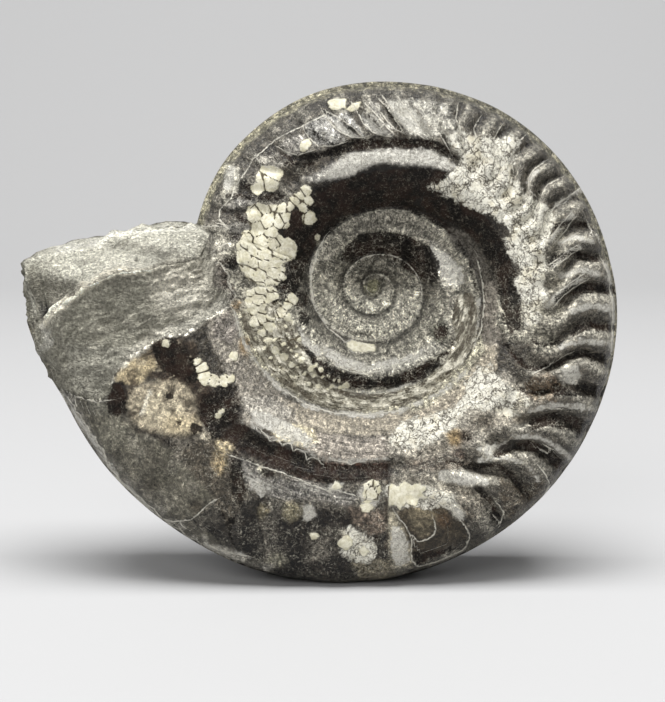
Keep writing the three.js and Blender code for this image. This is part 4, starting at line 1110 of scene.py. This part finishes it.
relief -= 0.8 * step(2, -4, pit) * ~to_back * stone_w
relief[(MOUTH_S < 0) & (Q > 0.93) & (T < 150)] *= 0.6
P = P + NRM * relief[:, None]
P[:, 2] = np.where(P[:, 2] < 0.0, 0.0, P[:, 2])

lo, hi = np.array(CAD_BOX[0]) * 1000, np.array(CAD_BOX[1]) * 1000
P = np.clip(P, lo - 0.4 * np.array([1, 1, 0]), hi + 0.4)

# ---- build the object -----------------------------------------------------------------------------------------
mesh = bpy.data.meshes.new("ammonite")
used = np.unique(faces)
renum = np.full(count, -1)
renum[used] = np.arange(len(used))
mesh.from_pydata((P[used] * 0.001).tolist(), [], renum[faces].tolist())
mesh.validate()
mesh.update()
mesh.shade_smooth()


def store(name, values):
    a = mesh.attributes.new(name, "FLOAT", "POINT")
    a.data.foreach_set("value", np.asarray(values, np.float32)[used])


for name, values in attr.items():
    store(name, np.clip(values, -20, 20))
store("shine", shine)
store("fleck_and_glint_amount", fleck_and_glint_amount)
# painted shade: pale colours dimmed where more light reaches the form, less so in the shaded rubble by the seam
shaded = step(5, -5, rubble_sd) * ~to_back
store("lit_side_dimming", np.clip(np.power(SKY, -0.5 + 0.28 * shaded), 0.5, 1.0))
fibre = np.maximum(step(4, -4, polygon([(230, 450), (262, 470), (300, 478), (330, 486), (372, 496), (390, 500), (380, 512),
                                        (325, 506), (300, 506), (262, 500), (232, 480)])),
                   step(4, -4, polygon([(296, 424), (330, 432), (388, 434), (390, 462), (330, 464), (300, 450)])))
fibre = np.maximum(fibre, 0.55 * step(3, -3, polygon(WALL)))
store("fibre", np.where(to_back, 0, fibre))
# the colours are divided by SKY: painted darker where more light reaches the form, to even out the light
tone = mesh.attributes.new("tone", "FLOAT_COLOR", "POINT")
tone.data.foreach_set("color", np.concatenate([np.clip(paint / SKY[:, None], 0, 0.85), np.ones((count, 1))], 1)[used].astype(np.float32).ravel())
ammonite = bpy.data.objects.new("ammonite", mesh)
bpy.context.scene.collection.objects.link(ammonite)
print("faces", len(faces), "vertices", len(used))
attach(ammonite, "root")
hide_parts("ammonite_fossil")


# ---- the fossil's material -----------------------------------------------------------------------------------------
class Net:
    """Short ways to add nodes to a material."""

    def __init__(self, tree):
        self.tree = tree

    def node(self, kind, **values):
        n = self.tree.nodes.new(kind)
        for k, v in values.items():
            setattr(n, k, v)
        return n

    def put(self, socket, value):
        if isinstance(value, bpy.types.NodeSocket):
            self.tree.links.new(value, socket)
        elif isinstance(value, tuple) and len(value) == 3 and socket.type == "RGBA":
            socket.default_value = (*value, 1)
        else:
            socket.default_value = value

    def math(self, op, a, b=0.0, c=0.0):
        n = self.node("ShaderNodeMath", operation=op)
        for s, v in zip(n.inputs, (a, b, c)):
            self.put(s, v)
        return n.outputs[0]

    def vmath(self, op, a, b=(0, 0, 0)):
        n = self.node("ShaderNodeVectorMath", operation=op)
        self.put(n.inputs[0], a)
        self.put(n.inputs[1], b)
        return n.outputs[0]

    def scale(self, a, by):
        n = self.node("ShaderNodeVectorMath", operation="SCALE")
        self.put(n.inputs[0], a)
        self.put(n.inputs["Scale"], by)
        return n.outputs[0]

    def mix(self, fac, a, b, blend="MIX"):
        n = self.node("ShaderNodeMix", data_type="RGBA", blend_type=blend)
        self.put(n.inputs[0], fac)
        self.put(n.inputs[6], a)
        self.put(n.inputs[7], b)
        return n.outputs[2]

    def blend(self, fac, a, b):
        n = self.node("ShaderNodeMix", data_type="FLOAT")
        self.put(n.inputs[0], fac)
        self.put(n.inputs[2], a)
        self.put(n.inputs[3], b)
        return n.outputs[0]

    def ramp(self, x, lo, hi, to_lo=0.0, to_hi=1.0):
        n = self.node("ShaderNodeMapRange", interpolation_type="SMOOTHSTEP")
        for s, v in zip(n.inputs[:5], (x, lo, hi, to_lo, to_hi)):
            self.put(s, v)
        return n.outputs[0]

    def noise(self, vec, scale, detail=4.0, rough=0.55, distort=0.0, colour=False):
        n = self.node("ShaderNodeTexNoise", noise_dimensions="3D")
        self.put(n.inputs["Vector"], vec)
        for k, v in (("Scale", scale), ("Detail", detail), ("Roughness", rough), ("Distortion", distort)):
            self.put(n.inputs[k], v)
        return n.outputs["Color" if colour else "Fac"]

    def cracks(self, vec, scale, randomness=1.0):
        n = self.node("ShaderNodeTexVoronoi", feature="DISTANCE_TO_EDGE")
        self.put(n.inputs["Vector"], vec)
        self.put(n.inputs["Scale"], scale)
        self.put(n.inputs["Randomness"], randomness)
        return n.outputs["Distance"]

    def grains(self, vec, scale):
        n = self.node("ShaderNodeTexVoronoi", feature="F1")
        self.put(n.inputs["Vector"], vec)
        self.put(n.inputs["Scale"], scale)
        return n.outputs["Color"]

    def attr(self, name, colour=False):
        n = self.node("ShaderNodeAttribute", attribute_name=name)
        return n.outputs["Color" if colour else "Fac"]

    def bump(self, height, distance, strength=1.0, normal=None):
        n = self.node("ShaderNodeBump")
        self.put(n.inputs["Height"], height)
        self.put(n.inputs["Distance"], distance)
        self.put(n.inputs["Strength"], strength)
        if normal is not None:
            self.put(n.inputs["Normal"], normal)
        return n.outputs[0]


def rgb(r, g, b):
    return tuple(float(w) for w in lin((r, g, b)))


mat = bpy.data.materials.new("fossil")
mat.use_nodes = True
net = Net(mat.node_tree)
bsdf = mat.node_tree.nodes["Principled BSDF"]

coord = net.node("ShaderNodeTexCoord").outputs["Object"]
mm = net.scale(coord, 1000.0)
warp = net.scale(net.vmath("SUBTRACT", net.noise(mm, 0.7, 4.0, 0.62, colour=True), (0.5, 0.5, 0.5)), 1.5)
mmw = net.vmath("ADD", mm, warp)
n_big = net.noise(mm, 0.3, 5.0, 0.62)
n_mid = net.noise(mmw, 1.15, 5.0, 0.68)
n_fine = net.noise(mmw, 1.7, 3.0, 0.74, 1.4)
lit_side_dimming = net.attr("lit_side_dimming")
fleck_and_glint_in = net.attr("fleck_and_glint_amount")
ragged = net.math("ADD", net.math("MULTIPLY", net.math("SUBTRACT", n_big, 0.5), 9.0),
                  net.math("MULTIPLY", net.math("SUBTRACT", n_mid, 0.5), 13.0))
grit = net.math("MULTIPLY", net.math("SUBTRACT", n_fine, 0.5), 4.0)


def thin(n, width, around=0.5):
    """Lines where a noise passes a level."""
    return net.ramp(net.math("ABSOLUTE", net.math("SUBTRACT", n, around)), width, width * 0.25)


# where a point lies in the spiral: threads along the whorl, growth lines across it
sep = net.node("ShaderNodeSeparateXYZ")
net.put(sep.inputs[0], mm)
cx = (CENTRE_U - AXIS_U) * UNIT + ORIGIN_X
cz = (AXIS_V - CENTRE_V) * UNIT + AXIS_Z + 0.9
dx = net.math("SUBTRACT", sep.outputs[0], cx)
dz = net.math("SUBTRACT", sep.outputs[2], cz)
angle = net.math("ARCTAN2", dz, dx)
dist = net.math("SQRT", net.math("ADD", net.math("MULTIPLY", dx, dx), net.math("MULTIPLY", dz, dz)))
comb = net.node("ShaderNodeCombineXYZ")
net.put(comb.inputs[0], net.math("MULTIPLY", net.math("COSINE", angle), 1.6))
net.put(comb.inputs[2], net.math("MULTIPLY", net.math("SINE", angle), 1.6))
net.put(comb.inputs[1], net.math("MULTIPLY", net.attr("phi"), 6.0))
along = net.noise(comb.outputs[0], 2.2, 4.0, 0.66)
comb2 = net.node("ShaderNodeCombineXYZ")
net.put(comb2.inputs[0], net.math("MULTIPLY", net.math("ADD", angle, net.math("MULTIPLY", dist, -0.012)), 30.0))
net.put(comb2.inputs[1], net.math("MULTIPLY", dist, 0.35))
across = net.noise(comb2.outputs[0], 1.3, 3.0, 0.62)
fib = net.attr("fibre")

# mottled calcite
swing = net.math("ADD", net.math("MULTIPLY", net.math("SUBTRACT", n_mid, 0.5), 9.0),
                 net.math("MULTIPLY", net.math("SUBTRACT", n_fine, 0.5), 12.0))
swing = net.math("ADD", swing, net.math("MULTIPLY", net.math("SUBTRACT", n_big, 0.5), 2.0))
swing = net.math("ADD", swing, net.math("MULTIPLY", net.math("SUBTRACT", across, 0.5), 4.5))
swing = net.math("ADD", swing, net.math("MULTIPLY", net.math("MULTIPLY", net.math("SUBTRACT", along, 0.5), 5.0),
                                        net.math("ADD", fib, 0.22)))
swing = net.math("MULTIPLY", swing, net.math("ADD", net.math("MULTIPLY", fleck_and_glint_in, 0.6), 0.55))
body = net.scale(net.attr("tone", True), net.math("POWER", 2.0, swing))

# pale calcite, whitish and ragged
pale_in = net.ramp(net.math("ADD", net.math("ADD", net.attr("pale"), ragged), net.math("MULTIPLY", grit, 1.6)), 1.0, -1.6)
pale_c = net.mix(net.ramp(n_fine, 0.32, 0.64), rgb(140, 137, 127), rgb(220, 217, 207))
pale_c = net.mix(net.ramp(n_big, 0.55, 0.7, 0.0, 0.5), pale_c, rgb(150, 146, 132))
body = net.mix(net.math("MULTIPLY", pale_in, 0.84), body, net.scale(pale_c, lit_side_dimming))

# black calcite, with lighter brown patches and grey specks that are partly painted reflection of its gloss
black_in = net.ramp(net.math("ADD", net.math("ADD", net.attr("black"), net.math("MULTIPLY", ragged, 0.8)), grit), 0.9, -1.2)
black_c = net.mix(net.ramp(n_big, 0.4, 0.62), rgb(14, 11, 8), rgb(38, 27, 21))
black_c = net.mix(net.ramp(n_fine, 0.53, 0.68, 0.0, 0.6), black_c, rgb(108, 103, 92))
body = net.mix(net.math("MULTIPLY", black_in, 0.93), body, black_c)

# pale specks and hairs; the specks are partly white flecks of the calcite and partly painted glints of the light
level = net.math("SUBTRACT", 0.75, net.math("MULTIPLY", fleck_and_glint_in, 0.17))
specks = net.ramp(net.math("SUBTRACT", n_fine, level), 0.0, 0.05)
specks = net.math("MULTIPLY", specks, net.math("SUBTRACT", 1.0, net.math("MULTIPLY", black_in, 0.5)))
hairs = net.math("MAXIMUM", thin(net.noise(mmw, 0.5, 2.0, 0.5), 0.010, 0.52), thin(net.noise(mmw, 0.95, 2.0, 0.5), 0.014, 0.48))
hairs = net.math("MULTIPLY", hairs, net.ramp(n_fine, 0.42, 0.52))
hairs = net.math("MULTIPLY", hairs, net.ramp(n_big, 0.40, 0.50))
hairs = net.math("MULTIPLY", hairs, net.ramp(fleck_and_glint_in, 0.15, 0.5, 0.0, 0.75))
white = net.math("MAXIMUM", net.math("MULTIPLY", specks, 0.85), hairs)
body = net.mix(white, body, net.scale(net.mix(n_big, rgb(214, 210, 196), rgb(196, 190, 170)), lit_side_dimming))

# broken grains by the seam
mmr = net.vmath("ADD", mmw, net.scale(net.vmath("SUBTRACT", net.noise(mm, 0.45, 2.0, 0.5, colour=True), (0.5, 0.5, 0.5)), 3.0))
grain_c = net.grains(mmr, 0.8)
gap = net.cracks(mmr, 0.8)
rubble_in = net.ramp(net.math("ADD", net.math("ADD", net.attr("rubble"), net.math("MULTIPLY", ragged, 0.7)), grit), 1.0, -1.0)
tint = net.node("ShaderNodeSeparateColor")
net.put(tint.inputs[0], grain_c)
comb3 = net.node("ShaderNodeCombineXYZ")
net.put(comb3.inputs[0], net.math("MULTIPLY", net.math("COSINE", angle), 1.6))
net.put(comb3.inputs[2], net.math("MULTIPLY", net.math("SINE", angle), 1.6))
net.put(comb3.inputs[1], net.math("MULTIPLY", net.attr("phi"), 0.8))
flake = net.noise(net.vmath("ADD", comb3.outputs[0], net.scale(warp, 0.16)), 3.6, 4.0, 0.6)
rub = net.mix(net.ramp(tint.outputs[0], 0.1, 0.9), rgb(160, 151, 129), rgb(222, 215, 194))
rub = net.mix(net.math("MULTIPLY", net.ramp(gap, 0.05, 0.01), net.ramp(n_mid, 0.6, 0.45, 0.0, 0.8)), rub, rgb(66, 58, 46))
rub = net.mix(net.ramp(n_fine, 0.38, 0.62, 0.0, 0.75), rub, rgb(198, 193, 174))
rub = net.mix(net.ramp(flake, 0.49, 0.43, 0.0, 0.88), rub, rgb(62, 53, 40))
rub = net.mix(net.ramp(flake, 0.53, 0.58, 0.0, 0.9), rub, rgb(236, 231, 213))
rub = net.mix(net.ramp(n_big, 0.42, 0.34, 0.0, 0.5), rub, rgb(78, 70, 56))
body = net.mix(net.math("MULTIPLY", rubble_in, 0.86), body, net.scale(rub, lit_side_dimming))

# crackled shell
tiny = net.cracks(mmw, 0.62)
web = net.ramp(net.cracks(net.vmath("ADD", mmw, warp), 0.36), 0.05, 0.014)
split = net.math("MAXIMUM", thin(net.noise(mmw, 0.42, 2.0, 0.5), 0.011), thin(net.noise(mmw, 0.7, 2.0, 0.5), 0.013, 0.46))
split = net.math("MAXIMUM", net.math("MULTIPLY", web, 0.9), split)
crackle_in = net.ramp(net.math("ADD", net.math("ADD", net.attr("crackle"), net.math("MULTIPLY", ragged, 1.7)), grit), 1.4, -2.2)
shell = net.mix(net.ramp(n_fine, 0.30, 0.56), rgb(176, 170, 151), rgb(240, 237, 223))
shell = net.mix(net.ramp(n_big, 0.48, 0.66, 0.0, 0.5), shell, rgb(214, 204, 174))
shell = net.mix(net.math("MULTIPLY", net.ramp(tiny, 0.03, 0.006), net.ramp(n_big, 0.5, 0.4, 0.0, 0.8)), shell, rgb(74, 66, 54))
shell = net.mix(net.math("MULTIPLY", split, net.ramp(n_big, 0.34, 0.5, 0.35, 0.95)), shell, rgb(58, 50, 38))
shell = net.mix(net.ramp(n_mid, 0.40, 0.33, 0.0, 0.8), shell, rgb(66, 59, 47))
col = net.mix(net.math("MULTIPLY", crackle_in, 0.93), body, net.scale(shell, lit_side_dimming))

# cream cells with straight sides
jag = net.math("ADD", net.math("MULTIPLY", net.math("SUBTRACT", n_mid, 0.5), 7.5), net.math("MULTIPLY", grit, 0.45))
cream_in = net.ramp(net.math("ADD", net.attr("cream"), jag), 0.45, -0.45)
cells_c = net.mix(net.ramp(n_mid, 0.35, 0.65), rgb(204, 198, 170), rgb(235, 231, 212))
cells_c = net.mix(net.ramp(n_fine, 0.52, 0.68, 0.0, 0.55), cells_c, rgb(172, 164, 138))
cells_c = net.mix(net.ramp(n_big, 0.50, 0.64, 0.0, 0.4), cells_c, rgb(182, 175, 152))
inner_crack = net.math("MULTIPLY", net.ramp(tiny, 0.03, 0.006), net.ramp(n_big, 0.5, 0.6, 0.0, 0.5))
seam_line = net.ramp(net.math("ADD", net.attr("cell"), net.math("MULTIPLY", jag, 0.16)), 1.9, 0.6)
cells_c = net.mix(net.math("MAXIMUM", seam_line, inner_crack), cells_c, rgb(84, 76, 60))
col = net.mix(cream_in, col, net.scale(cells_c, lit_side_dimming))

# pale outlines
wiggle = net.math("ADD", net.math("MULTIPLY", net.math("SUBTRACT", n_mid, 0.5), 5.0), net.math("MULTIPLY", grit, 0.4))
line_d = net.math("ABSOLUTE", net.math("ADD", net.attr("line"), wiggle))
line_in = net.math("MULTIPLY", net.ramp(line_d, 0.95, 0.25), net.ramp(n_mid, 0.38, 0.52, 0.25, 1.0))
col = net.mix(net.math("MULTIPLY", line_in, 0.9), col, net.scale(net.mix(n_big, rgb(228, 224, 211), rgb(214, 209, 193)), lit_side_dimming))

# limestone
stretched = net.node("ShaderNodeMapping")
net.put(stretched.inputs["Vector"], mmw)
stretched.inputs["Rotation"].default_value = (0, math.radians(-20), 0)
stretched.inputs["Scale"].default_value = (0.42, 0.8, 1.35)
folds = net.noise(stretched.outputs[0], 1.0, 3.0, 0.55, 0.6)
folds = net.math("MULTIPLY", net.math("ABSOLUTE", net.math("SUBTRACT", folds, 0.5)), 2.6)
layers = net.math("ADD", net.math("MULTIPLY", net.noise(mmw, 1.5, 5.0, 0.62), 0.7), net.math("MULTIPLY", folds, 0.45))
sand = net.noise(mm, 2.2, 3.0, 0.7)
# the colour follows the height of the relief's layers, a painted shade in its hollows, and the sand's grain
shade = net.math("ADD", net.math("MULTIPLY", net.math("SUBTRACT", layers, 0.355), 3.0), net.math("MULTIPLY", net.math("SUBTRACT", sand, 0.5), 3.4))
shade = net.math("ADD", shade, net.math("MULTIPLY", net.math("SUBTRACT", n_mid, 0.5), 1.6))
rock = net.scale(net.attr("tone", True), net.math("POWER", 2.0, shade))
rock = net.mix(net.ramp(sand, 0.40, 0.3, 0.0, 0.5), rock, net.scale(rgb(70, 68, 60), lit_side_dimming))
rock = net.mix(net.ramp(sand, 0.62, 0.72, 0.0, 0.5), rock, net.scale(rgb(222, 219, 206), lit_side_dimming))
stone_in = net.ramp(net.math("ADD", net.math("ADD", net.attr("stone"), ragged), grit), 0.8, -0.8)
col = net.mix(stone_in, col, rock)
net.put(bsdf.inputs["Base Color"], col)

# gloss
rough_v = net.math("ADD", net.attr("shine"), net.math("MULTIPLY", net.math("SUBTRACT", n_mid, 0.5), 0.5))
rough_v = net.math("ADD", rough_v, net.math("MULTIPLY", net.math("SUBTRACT", n_fine, 0.5), 0.3))
rough_v = net.blend(net.math("MULTIPLY", pale_in, 0.6), rough_v, 0.5)
rough_v = net.blend(rubble_in, rough_v, 0.6)
rough_v = net.blend(crackle_in, rough_v, 0.52)
rough_v = net.blend(cream_in, rough_v, 0.6)
rough_v = net.blend(stone_in, rough_v, 0.9)
net.put(bsdf.inputs["Roughness"], net.math("MAXIMUM", rough_v, 0.12))
net.put(bsdf.inputs["Specular IOR Level"], net.blend(black_in, 0.26, 0.12))

# relief too fine for the mesh
h_rock = net.math("ADD", net.math("MULTIPLY", layers, 9.0), net.math("MULTIPLY", sand, 1.0))
h_shell = net.math("ADD", net.math("MULTIPLY", net.ramp(tiny, 0.0, 0.06), 0.15), net.math("MULTIPLY", n_mid, 1.1))
h_shell = net.math("SUBTRACT", h_shell, net.math("MULTIPLY", split, 0.4))
h_cream = net.math("ADD", net.ramp(net.attr("cell"), 0.1, 2.0, 0.0, 0.8), net.math("MULTIPLY", n_fine, 0.5))
h_body = net.math("ADD", net.math("MULTIPLY", n_mid, 1.8), net.math("MULTIPLY", n_fine, 0.5))
h_body = net.math("MULTIPLY", h_body, net.math("ADD", 0.3, fleck_and_glint_in))
h_body = net.math("ADD", h_body, net.math("MULTIPLY", net.math("MULTIPLY", net.math("ADD", fib, 0.3), along), 0.9))
h_body = net.math("ADD", h_body, net.math("MULTIPLY", across, 0.9))
h_body = net.math("ADD", h_body, net.math("MULTIPLY", specks, 0.25))
h_rub = net.math("ADD", net.math("MULTIPLY", net.ramp(flake, 0.42, 0.56), 2.4),
                 net.math("MULTIPLY", net.ramp(gap, 0.0, 0.22), 0.5))
h_rub = net.math("ADD", h_rub, net.math("MULTIPLY", n_fine, 0.8))
h = net.blend(rubble_in, h_body, h_rub)
h = net.blend(crackle_in, h, net.math("ADD", h_shell, 0.6))
h = net.blend(cream_in, h, net.math("ADD", h_cream, 1.2))
h = net.math("ADD", h, net.math("MULTIPLY", line_in, 0.35))
h = net.blend(stone_in, h, h_rock)
net.put(bsdf.inputs["Normal"], net.bump(h, 0.0003, 1.0))
mesh.materials.append(mat)

# ---- floor, light and camera --------------------------------------------------------------------------------------
floor_mesh = bpy.data.meshes.new("floor")
sweep = [(-4.0, 0.0), (0.55, 0.0)]
sweep += [(0.55 + 0.6 * math.sin(a), 0.6 - 0.6 * math.cos(a)) for a in (math.radians(5 * k) for k in range(1, 19))]
sweep += [(1.15, 3.0)]
floor_mesh.from_pydata([(w, a, b) for a, b in sweep for w in (-5, 5)], [],
                       [(2 * k, 2 * k + 1, 2 * k + 3, 2 * k + 2) for k in range(len(sweep) - 1)])
floor_mesh.shade_smooth()
floor = bpy.data.objects.new("floor", floor_mesh)
bpy.context.scene.collection.objects.link(floor)
fmat = bpy.data.materials.new("floor_paper")
fmat.use_nodes = True
fb = fmat.node_tree.nodes["Principled BSDF"]
fb.inputs["Base Color"].default_value = (0.34, 0.34, 0.342, 1)
fb.inputs["Roughness"].default_value = 0.8
floor_mesh.materials.append(fmat)

world = bpy.data.worlds.new("studio")
bpy.context.scene.world = world
world.use_nodes = True
bg = world.node_tree.nodes["Background"]
bg.inputs["Color"].default_value = (0.83, 0.82, 0.81, 1)
bg.inputs["Strength"].default_value = 0.28


def softbox(name, where, target, size, power, colour=(1, 1, 1)):
    light = bpy.data.lights.new(name, "AREA")
    light.shape = "RECTANGLE"
    light.size, light.size_y = size
    light.energy = power
    light.color = colour
    ob = bpy.data.objects.new(name, light)
    ob.location = where
    ob.rotation_euler = (Vector(target) - Vector(where)).to_track_quat("-Z", "Y").to_euler()
    bpy.context.scene.collection.objects.link(ob)
    return ob


softbox("overhead", (0.0, -0.30, 1.50), (0, 0, 0.04), (1.2, 0.7), 52.0)
softbox("front_fill", (-0.6, -1.5, 1.1), (0, 0, 0.045), (1.2, 0.9), 17.0)

cam = bpy.data.cameras.new("camera")
cam.sensor_fit = "HORIZONTAL"
cam.sensor_width = 36.0
cam.lens = 36.0 * EYE_F / 665.0
cam.clip_start = 0.01
camera = bpy.data.objects.new("camera", cam)
camera.location = (ORIGIN_X * 0.001, -EYE_F * COS * UNIT * 0.001, (EYE_F * SIN * UNIT + AXIS_Z) * 0.001)
camera.rotation_euler = (math.radians(90) - PITCH, 0, 0)
bpy.context.scene.collection.objects.link(camera)
bpy.context.scene.camera = camera
bpy.context.scene.view_settings.view_transform = "Standard"
